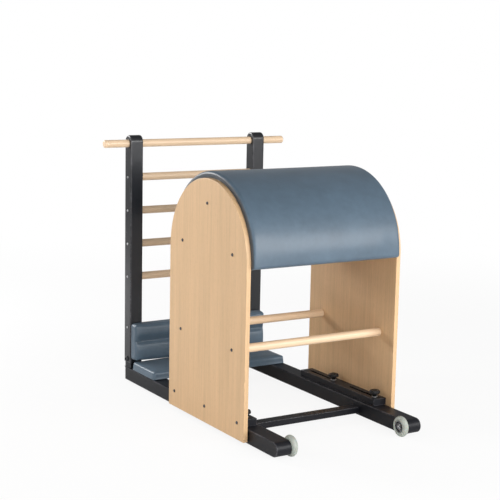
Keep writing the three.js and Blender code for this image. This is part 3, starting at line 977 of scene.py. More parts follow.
class Tool(Graph):
    """A Geometry Nodes tree with named inputs, whose result is smooth but for its sharpest edges."""

    sharp = SHARP

    def __init__(self, name: str, inputs: dict[str, str]) -> None:
        """Starts the tree.

        Args:
            name: Its name.
            inputs: Its inputs' names and kinds, beside the geometry.
        """
        super().__init__(bpy.data.node_groups.new(name, "GeometryNodeTree"))
        face = self.tree.interface
        for label, kind in {"Geometry": "Geometry", **inputs}.items():
            face.new_socket(label, in_out="INPUT", socket_type=f"NodeSocket{kind}")
        face.new_socket("Geometry", in_out="OUTPUT", socket_type="NodeSocketGeometry")
        source = self.node("NodeGroupInput")
        self.given = {plug.name: Socket(self, plug) for plug in source.outputs if plug.name}

    def named(self, attribute: str, kind: str) -> Socket:
        """What the mesh holds under a name."""
        return self.out("GeometryNodeInputNamedAttribute", {"data_type": kind}, {"Name": attribute})

    def deliver(self, geometry: Socket) -> None:
        """Ends the tree with real faces that carry the given finish."""
        real = self.out("GeometryNodeRealizeInstances", None, {"Geometry": geometry})
        values = {"Geometry": real, "Material": self.given["Finish"]}
        done = self.out("GeometryNodeSetMaterial", None, values)
        self.node("NodeGroupOutput", None, {"Geometry": done})

    def run(self, piece: bpy.types.Object, values: dict[str, object]) -> None:
        """Runs the tree on a piece and keeps the result as its mesh.

        Args:
            piece: The piece.
            values: What the tree's inputs hold.
        """
        modifier = piece.modifiers.new(self.tree.name, "NODES")
        modifier.node_group = self.tree
        for item in self.tree.interface.items_tree:
            if item.in_out == "INPUT" and item.name in values:
                modifier[item.identifier] = values[item.name]
        bake(piece)
        smooth(piece.data, self.sharp)


class Scatter(Tool):
    """Stands a template at each point of a mesh, along the point's facing."""

    seed = 7

    def __init__(self) -> None:
        """Builds the tree. The random node's inputs 2, 3 and 8 and its output 1 are for numbers."""
        inputs = {"Template": "Object", "Turn": "Float", "Finish": "Material"}
        super().__init__("stand_on_points", inputs)
        facing = self.named(FACING, "FLOAT_VECTOR")
        upright = self.out("FunctionNodeAlignRotationToVector", {"axis": "Z"}, {"Vector": facing})
        chance = {2: 0.0, 3: self.given["Turn"], 8: self.seed}
        spin = self.out("FunctionNodeRandomValue", {"data_type": "FLOAT"}, chance, output=1)
        turn = self.out("ShaderNodeCombineXYZ", None, {2: spin})
        values = {"Rotation": upright, "Rotate By": turn}
        turned = self.out("FunctionNodeRotateRotation", {"rotation_space": "LOCAL"}, values)
        source = {"Object": self.given["Template"]}
        template = self.out("GeometryNodeObjectInfo", None, source, output="Geometry")
        values = {"Points": self.given["Geometry"], "Instance": template, "Rotation": turned}
        self.deliver(self.out("GeometryNodeInstanceOnPoints", None, values))

    def place(
        self,
        name: str,
        spots: Sequence[Spot],
        template: bpy.types.Mesh,
        finish: Finish,
        body: str,
        turn: float = math.pi,
        replaces: Sequence[str] = (),
    ) -> None:
        """Stands the template on spots and makes the result one piece.

        Args:
            name: The piece's name.
            spots: Places, each with the direction that the template's Z axis takes.
            template: The mesh that is repeated.
            finish: Its finish.
            body: The CAD body that it rides on.
            turn: The largest chance turn about the template's own axis, in radians.
            replaces: The CAD nodes that it stands for.
        """
        host = bpy.data.meshes.new(name)
        host.from_pydata([tuple(place) for place, _ in spots], [], [])
        facing = host.attributes.new(FACING, "FLOAT_VECTOR", "POINT")
        facing.data.foreach_set("vector", np.array([way for _, way in spots], np.float32).ravel())
        piece = stand(name, host)
        stamp = stand(name + "_template", template)
        self.run(piece, {"Template": stamp, "Turn": turn, "Finish": finish.material()})
        bpy.data.objects.remove(stamp)
        settle(piece, body, replaces)


def along_loop(corners: Sequence[Sequence[float]], spacing: float, way: Sequence[float]) -> list[Spot]:
    """Spots at even spacing round a closed line through corners.

    Args:
        corners: The corners.
        spacing: The distance from spot to spot.
        way: The direction that all of them face.

    Returns:
        The spots.
    """
    places = [Vector(c) for c in corners]
    spots = []
    for start, end in zip(places, places[1:] + places[:1]):
        count = max(1, round((end - start).length / spacing))
        spots += [(start.lerp(end, step / count), way) for step in range(count)]
    return spots


@dataclass(frozen=True)
class PanScrew:
    """A pan head with a cross recess, whose underside lies on its seat."""

    diameter: float = 0.0102
    height: float = 0.003
    recess: float = 0.0058
    slot_width: float = 0.0013
    recess_depth: float = 0.0019

    def cross(self, angle: float) -> float:
        """The recess's reach at an angle."""
        long, short = sorted((abs(math.cos(angle)), abs(math.sin(angle))), reverse=True)
        return min(self.recess / 2 / long, self.slot_width / 2 / max(short, TINY))

    def mesh(self) -> bpy.types.Mesh:
        """The head, standing along Z."""
        radius = self.diameter / 2
        height = self.height
        profile = [
            (radius, 0.0, 0.0),
            (radius, height * 0.32, 0.6),
            (radius * 0.9, height * 0.72, 0.8),
            (radius * 0.72, height * 0.93, 0.4),
            (lambda angle: max(self.cross(angle) * 1.04, radius * 0.2), height, 0.2),
            (lambda angle: self.cross(angle) * 0.6, height - self.recess_depth, 0.0),
        ]
        return Shape().turn(profile, Axis.Z, Vector(), 24, capped=True).end("pan_screw")


def droplet(width: float, height: float) -> bpy.types.Mesh:
    """A low round bead, for a weld's ripples."""
    work = bmesh.new()
    bmesh.ops.create_uvsphere(work, u_segments=8, v_segments=5, radius=0.5)
    bmesh.ops.scale(work, vec=(width, width, height), verts=work.verts)
    return as_mesh(work, "bead")


def staple(crown: float, wire: float) -> bpy.types.Mesh:
    """The crown of a driven staple, flat on its seat."""
    work = bmesh.new()
    bmesh.ops.create_cube(work, size=1.0)
    bmesh.ops.scale(work, vec=(crown, wire, wire), verts=work.verts)
    bmesh.ops.bevel(work, geom=work.edges[:], offset=wire * 0.3, segments=2, profile=0.5, affect="EDGES")
    return as_mesh(work, "staple")


# Sub-assemblies


@dataclass(frozen=True)
class Base:
    """The welded floor frame: two rails, two posts, two cross tubes and four feet."""

    tube_radius: float = 0.004
    cross_tube_radius: float = 0.003
    rail_ease: float = 0.0028
    post_ease: float = 0.001
    cross_tube_ease: float = 0.0005
    bead_spacing: float = 0.0024
    bead_sink: float = 0.0004
    bead: tuple[float, float] = (0.0046, 0.0034)
    seam_place: float = -0.372
    seam_pitch: float = 0.0012
    seam_bead: tuple[float, float] = (0.0022, 0.0011)

    def build(self, scatter: Scatter) -> None:
        """Builds the frame's pieces."""
        tube = self.tube_radius
        for side in SIDES:
            half = Box.of(f"rail_{side}").size.z / 2
            radii = (half, tube, tube, half)
            extrude(f"rail_{side}", "coated", Axis.X, radii, self.rail_ease, [RAIL_COAT])
            extrude(f"post_{side}", "coated", Axis.Z, (tube,) * 4, self.post_ease, [RAIL_COAT])
            for end in ENDS:
                self.foot(f"foot_{end}_{side}")
        radii = (self.cross_tube_radius,) * 4
        for end in ENDS:
            extrude(f"{end}_cross_tube", "coated", Axis.X, radii, self.cross_tube_ease, [RAIL_COAT])
        self.welds(scatter)
        self.seams(scatter)

    def foot(self, node: str) -> None:
        """A turned rubber foot with a grooved rim.

        Args:
            node: The node that it stands for.
        """
        box = Box.of(node)
        radius = box.size.x / 2
        top = Box.of("rail_left").low.z - box.low.z - 0.0003
        profile = [
            (0.0, 0.0006), (radius * 0.5, 0.0006), (radius * 0.56, 0.0), (radius - 0.002, 0.0),
            (radius - 0.0006, 0.0006), (radius, 0.002), (radius, top * 0.42),
            (radius - 0.0011, top * 0.5), (radius - 0.0011, top * 0.58), (radius, top * 0.66),
            (radius, top - 0.001), (radius - 0.001, top), (0.004, top), (0.004, box.size.z),
            (0.0, box.size.z),
        ]
        Shape().turn(profile, Axis.Z, box.foot).finish(node, "rubber", [Rubber()])

    def welds(self, scatter: Scatter) -> None:
        """The rippled welds where the tubes and posts meet the rails.

        Args:
            scatter: What stands the beads on their spots.
        """
        spots: list[Spot] = []
        for end in ENDS:
            box = Box.of(f"{end}_cross_tube")
            for sign in SIDES.values():
                x = box.side(sign) - sign * self.bead_sink
                loop = [(x, y, z) for y, z in corners_of(box.low.yz, box.high.yz)]
                spots += along_loop(loop, self.bead_spacing, (-sign, 0.0, 0.6))
        for side in SIDES:
            box = Box.of(f"post_{side}")
            height = box.low.z + self.bead_sink / 2
            loop = [(x, y, height) for x, y in corners_of(box.low.xy, box.high.xy)]
            spots += along_loop(loop, self.bead_spacing, (0.0, 0.0, 1.0))
        scatter.place("frame_weld_beads", spots, droplet(*self.bead), RAIL_COAT, "base")

    def seams(self, scatter: Scatter) -> None:
        """The flat welds where each rail's front length joins the rest, on its inner face.

        Args:
            scatter: What stands the beads on their spots.
        """
        spots = []
        for side, sign in SIDES.items():
            box = Box.of(f"rail_{side}")
            count = round((box.size.z - 2 * self.tube_radius) / self.seam_pitch)
            for step in range(count + 1):
                height = box.low.z + self.tube_radius + step * self.seam_pitch
                spots.append(((box.side(-sign), self.seam_place, height), (-sign, 0.0, 0.0)))
        scatter.place("rail_seam_welds", spots, droplet(*self.seam_bead), RAIL_COAT, "base")


@dataclass(frozen=True)
class Ladder:
    """Two uprights with a long top rung, four even rungs, a rung behind the back pad and its bolts."""

    upright_foot: float = 0.0012
    upright_ease: float = 0.0038
    rung_ends: float = 0.0045
    rim_gap: float = 0.0012
    rim_wire: float = 0.0009
    rungs: tuple[str, ...] = ("rung_1_top", "rung_2", "rung_3", "rung_4", "rung_5", "back_rest_rung")

    def build(self, scatter: Scatter) -> None:
        """Builds the ladder's pieces."""
        for side, sign in SIDES.items():
            half = Box.of(f"upright_{side}").size.y / 2
            radii = (self.upright_foot, self.upright_foot, half, half)
            extrude(f"upright_{side}", "coated", Axis.X, radii, self.upright_ease, [PowderCoat()])
            self.bolt(side, sign)
        for node in self.rungs:
            self.rung(node)
        self.rims()
        self.screws(scatter)

    def rung(self, node: str) -> None:
        """A lacquered dowel with rounded ends.

        Args:
            node: The node that it stands for.
        """
        box = Box.of(node)
        centre = box.centre
        radius = box.size.z / 2
        half = box.size.x / 2
        start = [(0.0, -half), (radius * 0.35, -half), (radius * 0.7, -half)]
        for angle in np.linspace(0, math.pi / 2, 6):
            rise = self.rung_ends * (1 - math.cos(angle))
            start.append((radius - self.rung_ends * (1 - math.sin(angle)), rise - half))
        profile = mirrored(start)
        profile.insert(len(start), (0.999999 * radius, 0.0))
        shape = Shape().turn(profile, Axis.X, centre)
        for face in shape.mesh.faces:
            if all(abs(abs(v.co.x - centre.x) - half) < TINY for v in face.verts):
                face.material_index = 1
        shape.finish(node, "turned", [Dowel(), EndGrain()])

    def bolt(self, side: str, sign: float) -> None:
        """The black bolt that holds an upright on its post.

        Args:
            side: Which upright.
            sign: Which way it faces along X.
        """
        node = f"frame_bolt_{side}"
        box = Box.of(node)
        head = box.size.z / 2
        profile = [
            (0.0, -0.012), (0.004, -0.012), (0.004, 0.0), (head * 0.98, 0.0), (head, 0.0006),
            (head, 0.0018), (head * 0.86, 0.0026, 0.7), (head * 0.82, 0.0046, 0.2),
            (head * 0.72, 0.0068, 0.8), (head * 0.5, 0.0079, 0.3), (head * 0.36, 0.008, 0.6),
            (head * 0.33, 0.0045), (head * 0.33, 0.0036), (0.0, 0.0036),
        ]
        profile = [(radius, sign * along, *worn) for radius, along, *worn in profile]
        seat = Vector((Box.of(f"upright_{side}").side(sign), *box.centre.yz))
        Shape().turn(profile, Axis.X, seat).finish(node, "head", [PowderCoat()])

    def rims(self) -> None:
        """The thin dark rims of the holes that the top rung passes through."""
        rung = Box.of("rung_1_top")
        middle = rung.size.z / 2 + self.rim_gap
        wire = self.rim_wire
        rim = [
            (middle + wire * math.cos(angle), wire * math.sin(angle))
            for angle in np.linspace(0, 2 * math.pi, 13)
        ]
        shape = Shape()
        for side in SIDES:
            for way in SIDES.values():
                face = Box.of(f"upright_{side}").side(way)
                shape.turn(rim, Axis.X, Vector((face, *rung.centre.yz)))
        name = "top_rung_hole_rims"
        dress(name, shape.end(name), [PowderCoat()], "base")

    def screws(self, scatter: Scatter) -> None:
        """The small bright screws that hold the rungs, in the uprights' outer faces.

        Args:
            scatter: What stands the heads on their spots.
        """
        spots = []
        for side, sign in SIDES.items():
            seat = Box.of(f"upright_{side}").side(sign)
            spots += [((seat, *Box.of(node).centre.yz), (sign, 0.0, 0.0)) for node in self.rungs[1:]]
        scatter.place("rung_screws", spots, PanScrew().mesh(), Zinc(), "base")


@dataclass(frozen=True)
class Cushion:
    """Grown upholstery: a rounded slab that is bent, swollen as cloth and dressed."""

    cell: float
    most_swell: float
    evening: int = 4
    pressure: float = 4.0
    frames: int = 20

    def lines(self, low: float, high: float, low_radius: float, high_radius: float) -> list[float]:
        """Places of the grid lines along one edge of the slab, closer together round its ends."""
        shares = (0.0, 0.332, 0.586, 0.801, 1.0)
        start = [low + low_radius * share for share in shares]
        end = [high - high_radius * share for share in reversed(shares)]
        between = end[0] - start[-1]
        count = max(1, round(between / self.cell))
        return start + [start[-1] + between * step / count for step in range(1, count)] + end

    def slab(
        self,
        size: Sequence[float],
        top_radius: float,
        under_radius: float,
    ) -> tuple[np.ndarray, list[tuple[int, int, int, int]]]:
        """A closed rounded slab about the origin.

        Args:
            size: Its length, depth and thickness.
            top_radius: The radius round its upper edges.
            under_radius: The radius round its lower edges.

        Returns:
            The points and the faces.
        """
        half = [s / 2 for s in size]
        grid = [
            self.lines(-half[0], half[0], top_radius, top_radius),
            self.lines(-half[1], half[1], top_radius, top_radius),
            self.lines(-half[2], half[2], under_radius, top_radius),
        ]
        counts = [len(line) for line in grid]
        index: dict[tuple[int, int, int], int] = {}
        points: list[Vector] = []

        def number(key: tuple[int, int, int]) -> int:
            """The point at a grid place, added when it is first asked for."""
            if key not in index:
                flat = Vector(grid[axis][key[axis]] for axis in range(3))
                radius = top_radius if flat.z > 0 else under_radius
                inner = Vector((
                    min(max(flat.x, -half[0] + radius), half[0] - radius),
                    min(max(flat.y, -half[1] + radius), half[1] - radius),
                    min(max(flat.z, -half[2] + under_radius), half[2] - top_radius),
                ))
                away = flat - inner
                index[key] = len(points)
                points.append(inner + away.normalized() * radius if away.length > 1e-9 else flat)
            return index[key]

        faces = []
        for axis in range(3):
            one, two = [a for a in range(3) if a != axis]
            for level in (0, counts[axis] - 1):
                for i in range(counts[one] - 1):
                    for j in range(counts[two] - 1):
                        keys = []
                        for di, dj in ((0, 0), (1, 0), (1, 1), (0, 1)):
                            key = [0, 0, 0]
                            key[axis], key[one], key[two] = level, i + di, j + dj
                            keys.append(number(tuple(key)))
                        faces.append(tuple(keys))
        return np.array(points), faces

    @staticmethod
    def round_corners(points: np.ndarray, size: Sequence[float], radius: float) -> np.ndarray:
        """Rounds the slab's four corners as seen from above.

        Args:
            points: The slab's points about the origin.
            size: Its length and depth, and perhaps more.
            radius: The corners' radius.

        Returns:
            The points, with each corner square squeezed into a quarter disc.
        """
        reach = np.array(size[:2]) / 2 - radius
        inside = np.clip((np.abs(points[:, :2]) - reach) / radius, 0, 1)
        squeezed = inside * np.sqrt(1 - inside[:, ::-1] ** 2 / 2)
        points[:, :2] += np.sign(points[:, :2]) * (squeezed - inside) * radius
        return points

    @staticmethod
    def rim(points: np.ndarray, size: Sequence[float], reach: float = 0.009) -> np.ndarray:
        """1 round the rim of a slab about the origin, as seen from above, and 0 a reach inside it."""
        inside = np.minimum(size[0] / 2 - np.abs(points[:, 0]), size[1] / 2 - np.abs(points[:, 1]))
        return np.clip(1 - inside / reach, 0, 1)

    def swell(self, piece: bpy.types.Object, held: np.ndarray) -> None:
        """Blows a piece up as cloth and caps how far its points move.

        Args:
            piece: The cushion, before its modifiers.
            held: For each point, 1 where it is fixed to its board and 0 where it is free.
        """
        rest = np.array([v.co for v in piece.data.vertices])
        group = piece.vertex_groups.new(name="seated")
        for index in np.nonzero(held > 0.5)[0]:
            group.add([int(index)], 1.0, "REPLACE")
        cloth = piece.modifiers.new("Cloth", "CLOTH")
        settings = cloth.settings
        settings.quality = 4
        settings.mass = 0.3
        settings.tension_stiffness = 25.0
        settings.compression_stiffness = 20.0
        settings.shear_stiffness = 10.0
        settings.bending_stiffness = 4.0
        settings.use_pressure = True
        settings.uniform_pressure_force = self.pressure
        settings.vertex_group_mass = group.name
        settings.effector_weights.gravity = 0.0
        scene = bpy.context.scene
        for step in range(1, self.frames + 1):
            scene.frame_set(step)
        evaluated = piece.evaluated_get(bpy.context.evaluated_depsgraph_get())
        moved = np.array([v.co for v in evaluated.data.vertices])
        scene.frame_set(1)
        piece.modifiers.clear()
        piece.vertex_groups.clear()
        shift = self.evened(piece.data, moved - rest) * (1 - held)[:, None]
        length = np.linalg.norm(shift, axis=1)
        share = np.tanh(length / self.most_swell) * self.most_swell / np.maximum(length, 1e-9)
        piece.data.vertices.foreach_set("co", (rest + shift * share[:, None]).astype(np.float32).ravel())
        piece.data.update()

    def evened(self, mesh: bpy.types.Mesh, shift: np.ndarray) -> np.ndarray:
        """Shares each point's move with its neighbours, which takes sharp folds out of taut vinyl."""
        first, second = np.array([edge.vertices[:] for edge in mesh.edges]).T
        count = np.bincount(np.concatenate((first, second)), minlength=len(shift))[:, None]
        for _ in range(self.evening):
            near = np.zeros_like(shift)
            np.add.at(near, first, shift[second])
            np.add.at(near, second, shift[first])
            shift = (shift + near / count) / 2
        return shift

    def make(
        self,
        name: str,
        points: np.ndarray,
        faces: list[tuple[int, int, int, int]],
        held: np.ndarray,
        wear: np.ndarray,
        node: str,
        finish: Finish,
        detail: Callable[[np.ndarray], np.ndarray] | None = None,
    ) -> None:
        """Makes the grown cushion a piece.

        Args:
            name: The piece's name.
            points: The slab's points in their final places.
            faces: Its faces.
            held: 1 where a point is fixed, 0 where it is free.
            wear: How much of an edge each point is.
            node: The CAD node that it stands for.
            finish: Its finish.
            detail: A last move of all points, after the swelling.
        """
        mesh = bpy.data.meshes.new(name)
        mesh.from_pydata(points.tolist(), [], faces)
        mesh.attributes.new(WEAR, "FLOAT", "POINT").data.foreach_set("value", wear.astype(np.float32))
        work = bmesh.new()
        work.from_mesh(mesh)
        bmesh.ops.recalc_face_normals(work, faces=work.faces)
        work.to_mesh(mesh)
        work.free()
        mesh.materials.append(finish.material())
        mesh.shade_smooth()
        piece = stand(name, mesh)
        self.swell(piece, held)
        if detail is not None:
            now = np.array([v.co for v in piece.data.vertices])
            piece.data.vertices.foreach_set("co", detail(now).astype(np.float32).ravel())
            piece.data.update()
        finer = piece.modifiers.new("finer", "SUBSURF")
        finer.levels = finer.render_levels = 1
        bake(piece)
        piece.data.shade_smooth()
        settle(piece, BODY_OF[node], [node])


@dataclass(frozen=True)
class Seat:
    """The thin seat pad and the two-bolster back pad, each on its plywood board."""

    slack: float = 0.0012
    seat_edge: float = 0.0105
    back_edge: float = 0.011
    under_edge: float = 0.003
    corner: float = 0.014
    crown: float = 0.0015
    side_draw: float = 0.006
    rear_lift: float = 0.006
    back_sag: float = 0.0045
    back_rise: float = 0.0025
    crease_depth: float = 0.013
    crease_rise: float = 0.002
    crease_above: float = 0.038
    crease_below: float = 0.005
    crease_fade: float = 0.016
    crease_curve: float = 1.3
    crease_at_ends: float = 0.25
    bolster_fall: float = 0.32
    bolster_curve: float = 1.6
    board_corner: float = 0.003
    board_ease: float = 0.0008
    staple_pitch: float = 0.021
    staple_sink: float = 0.0001
    staple_crown: float = 0.010
    staple_wire: float = 0.0007
    staple_turn: float = 0.35
    hem: float = 0.006

    def build(self, scatter: Scatter) -> None:
        """Builds the pads, their boards with the vinyl drawn round, and the staples under them."""
        self.seat_pad()
        self.back_pad()
        radii = (self.board_corner,) * 4
        for node, axis in (("seat_board", Axis.Z), ("back_board", Axis.Y)):
            extrude(node, "ply", axis, radii, self.board_ease, [Plywood(), Vinyl()])
        self.staples(scatter)

    def seat_pad(self) -> None:
        """The seat, with tight folded corners and a faint crown."""
        box = Box.of("seat_pad")
        slack = self.slack
        cushion = Cushion(cell=0.0075, most_swell=0.0022)
        size = [box.size.x - 2 * slack, box.size.y - 2 * slack, box.size.z - slack - self.crown]
        points, faces = cushion.slab(size, self.seat_edge, self.under_edge)
        points = cushion.round_corners(points, size, self.corner)
        points += np.array([box.centre.x, box.centre.y, box.low.z + size[2] / 2])
        held = np.clip(1.25 - (points[:, 2] - box.low.z) / size[2] * 3, 0, 1)
        above = points - np.array(box.centre)
        worn = cushion.rim(above, box.size, 0.008) * np.clip(above[:, 2] / 0.01, 0, 1)
        cushion.make(
            "seat_pad_upholstered", points, faces, held, worn, "seat_pad", Vinyl(),
            lambda now: self.seat_detail(now, box),
        )

    def seat_detail(self, now: np.ndarray, box: Box) -> np.ndarray:
        """Crowns the seat, lifts it under the back pad and pulls its sides in between the corners.

        Args:
            now: The swollen points.
            box: The seat's box.

        Returns:
            The points, moved.
        """
        across = (now[:, 0] - box.centre.x) / (box.size.x / 2)
        along = (now[:, 1] - box.centre.y) / (box.size.y / 2)
        rise = np.clip((now[:, 2] - box.low.z) / box.size.z, 0, 1)
        bow = np.clip(1 - across**4, 0, 1) * np.clip(1 - along**4, 0, 1)
        now[:, 2] += self.crown * bow * rise
        now[:, 2] += self.rear_lift * np.clip(along * 3 - 2, 0, 1) * (1 - across**4) * rise
        drawn = np.clip(np.abs(along) - 0.8, 0, 1) * (1 - across**2)
        now[:, 1] -= np.sign(along) * self.side_draw * drawn
        return now

    def back_pad(self) -> None:
        """The back rest, creased across its middle into two bolsters."""
        box = Box.of("back_pad")
        cushion = Cushion(cell=0.0065, most_swell=0.0025)
        size = [length - 2 * self.slack for length in box.size.xzy]
        points, faces = cushion.slab(size, self.back_edge, self.under_edge)
        points = cushion.round_corners(points, size, self.corner)
        across, upward = points[:, 0], points[:, 1]
        rise = points[:, 2] + size[2] / 2
        share = np.clip(rise / size[2], 0, 1)
        above = upward - self.crease_rise
        slope = np.clip(1 - above / self.crease_above, 0, 1) ** self.crease_curve
        crease = np.where(above > 0, slope, np.exp(above / self.crease_below))
        near_end = np.exp(-(((size[0] / 2 - np.abs(across)) / self.crease_fade) ** 2))
        crease *= 1 - (1 - self.crease_at_ends) * near_end
        off_crest = np.abs(np.abs(upward) / (size[1] / 2) - 0.5)
        fall = self.bolster_fall * off_crest**self.bolster_curve
        thick = rise * (1 - share * fall) - self.crease_depth * crease * share**0.7
        rim = np.clip(4 * np.abs(upward) / size[1] - 1, 0, 1)
        reach = np.where(upward > 0, self.back_rise, -self.back_sag)
        puff = reach * rim * (1 - (2 * across / size[0]) ** 4)
        placed = np.column_stack((
            box.centre.x + across,
            box.high.y - self.slack - np.maximum(thick, 0),
            box.centre.z + upward + puff,
        ))
        held = np.clip(1.25 - share * 3, 0, 1)
        worn = cushion.rim(points, size) * np.clip(share * 2 - 1, 0, 1)
        cushion.make("back_pad_upholstered", placed, faces, held, worn, "back_pad", Vinyl())

    def staples(self, scatter: Scatter) -> None:
        """The staples that hold the vinyl's hem round both boards.

        Args:
            scatter: What stands the staples on their spots.
        """
        seat, back = Box.of("seat_board"), Box.of("back_board")
        under, behind = seat.low.z - self.staple_sink, back.high.y + self.staple_sink
        loop = [(x, y, under) for x, y in corners_of(seat.low.xy, seat.high.xy, self.hem)]
        spots = along_loop(loop, self.staple_pitch, (0.0, 0.0, -1.0))
        loop = [(x, behind, z) for x, z in corners_of(back.low.xz, back.high.xz, self.hem)]
        spots += along_loop(loop, self.staple_pitch, (0.0, 1.0, 0.0))
        wire = staple(self.staple_crown, self.staple_wire)
        scatter.place("upholstery_staples", spots, wire, Zinc(), "base", self.staple_turn)


@dataclass(frozen=True)
class Wheels:
    """The two transport wheels inside the rails' front ends."""

    steps: int = 72
    spokes: int = 6
    window_share: float = 0.62
    dish_share: float = 0.55
    fit: float = 0.0002
    groove_width: float = 0.0026
    groove_depth: float = 0.0045

    def build(self) -> None:
        """Builds each wheel's tyre, hub, bearing and axle bolt."""
        for side, sign in SIDES.items():
            self.tyre(side)
            self.hub(side)
            self.bearing(side)
            self.axle(side, sign)

    def tyre(self, side: str) -> None:
        """The cast tread, whose section is half an oval with a groove beside the hub.

        Args:
            side: Which wheel.
        """
        node = f"wheel_tyre_{side}"
        box = Box.of(node)
        half = box.size.x / 2
        inner = Box.of(f"wheel_hub_{side}").size.z / 2 + self.fit
        foot = inner + self.groove_width
        crown = box.size.z / 2 - foot
        oval = [
            (foot + crown * math.sin(angle) ** 0.9, -half * math.cos(angle), math.sin(angle) ** 6)
            for angle in np.linspace(0, math.pi, 25)
        ]
        floor = self.groove_depth - half
        groove = [(inner, floor), (foot - 0.0012, floor), (foot - 0.0003, 0.0008 - half)]
        profile = [*groove, *oval, *mirrored(groove)[len(groove):], groove[0]]
        Shape().turn(profile, Axis.X, box.centre, self.steps).finish(node, "cast", [Tread()])

    def hub(self, side: str) -> None:
        """The cast hub, with windows between its spokes.

        Args:
            side: Which wheel.
        """
        node = f"wheel_hub_{side}"
        box = Box.of(node)
        half = box.size.x / 2
        dish = half * self.dish_share
        outer = box.size.z / 2
        inner = Box.of(f"wheel_bearing_{side}").size.z / 2 + self.fit
        rim, nave = outer - 0.0035, inner + 0.0028
        profile = [
            (inner, half - 0.0006, 0.0), (inner + 0.0007, half, 0.8), (nave - 0.0005, half, 0.8),
            (nave, dish, 0.0), (rim, dish, 0.0), (rim + 0.0005, half, 0.8),
            (outer - 0.0006, half, 0.8), (outer, half - 0.0006, 0.0),
        ]
        shape = Shape()
        near, far = [
            [
                shape.ring(radius, way * along, Axis.X, box.centre, self.steps, worn)
                for radius, along, worn in profile
            ]
            for way in SIDES.values()
        ]
        for rings in (near[:4], near[4:], far[:4], far[4:], (near[0], far[0]), (near[-1], far[-1])):
            shape.bridge(rings)
        web = (near[3], near[4], far[4], far[3])
        period = self.steps // self.spokes
        solid = round(period * (1 - self.window_share))
        for step in range(self.steps):
            after = (step + 1) % self.steps
            if step % period < solid:
                walls = ((web[0], web[1]), (web[3], web[2]))
            else:
                walls = ((web[0], web[3]), (web[1], web[2]))
            for one, two in walls:
                shape.face((one[step], one[after], two[after], two[step]))
            if step % period == 0:
                shape.face([ring[step] for ring in web])
            if step % period == solid - 1:
                shape.face([ring[after] for ring in web])
        shape.finish(node, "spoked", [CAST_METAL], 35)

    def bearing(self, side: str) -> None:
        """The ball bearing with its shield and two rings.

        Args:
            side: Which wheel.
        """
        node = f"wheel_bearing_{side}"
        box = Box.of(node)
        radius = box.size.z / 2
        bore = min(Box.of(f"wheel_axle_{side}").size.z / 2, 0.0043)
        half = box.size.x / 2
        face = [
            (bore, half - 0.0004), (bore + 0.0004, half, 0.6), (bore + 0.0022, half, 0.2),
            (bore + 0.0026, half - 0.0006), (radius - 0.0026, half - 0.0006),
            (radius - 0.0022, half, 0.4), (radius - 0.0004, half, 0.6), (radius, half - 0.0004),
        ]
        shape = Shape().turn([*mirrored(face), face[0]], Axis.X, box.centre)
        shape.finish(node, "shielded", [Zinc()])

    def axle(self, side: str, sign: float) -> None:
        """The axle bolt, whose hexagon head faces inwards.

        Args:
            side: Which wheel.
            sign: Which way the bolt points along X.
        """
        node = f"wheel_axle_{side}"
        box = Box.of(node)
        head = box.size.z / 2
        shank = 0.0039
        length = box.size.x

        def hexagon(angle: float) -> float:
            """The head's reach at an angle."""
            return head * math.cos(math.pi / 6) / math.cos(angle % (math.pi / 3) - math.pi / 6)

        profile = [
            (head * 0.3, 0.0008, 0.0), (head * 0.5, 0.0002, 0.3), (head * 0.8, 0.0, 0.8),
            (hexagon, 0.0011, 0.8), (hexagon, 0.005, 0.0), (shank, 0.005, 0.0),
            (shank, length - 0.0005, 0.0), (shank - 0.0005, length, 0.0),
        ]
        profile = [(radius, sign * along, worn) for radius, along, worn in profile]
        seat = Vector((box.side(-sign), *box.centre.yz))
        Shape().turn(profile, Axis.X, seat, capped=True).finish(node, "bolt", [Zinc()])


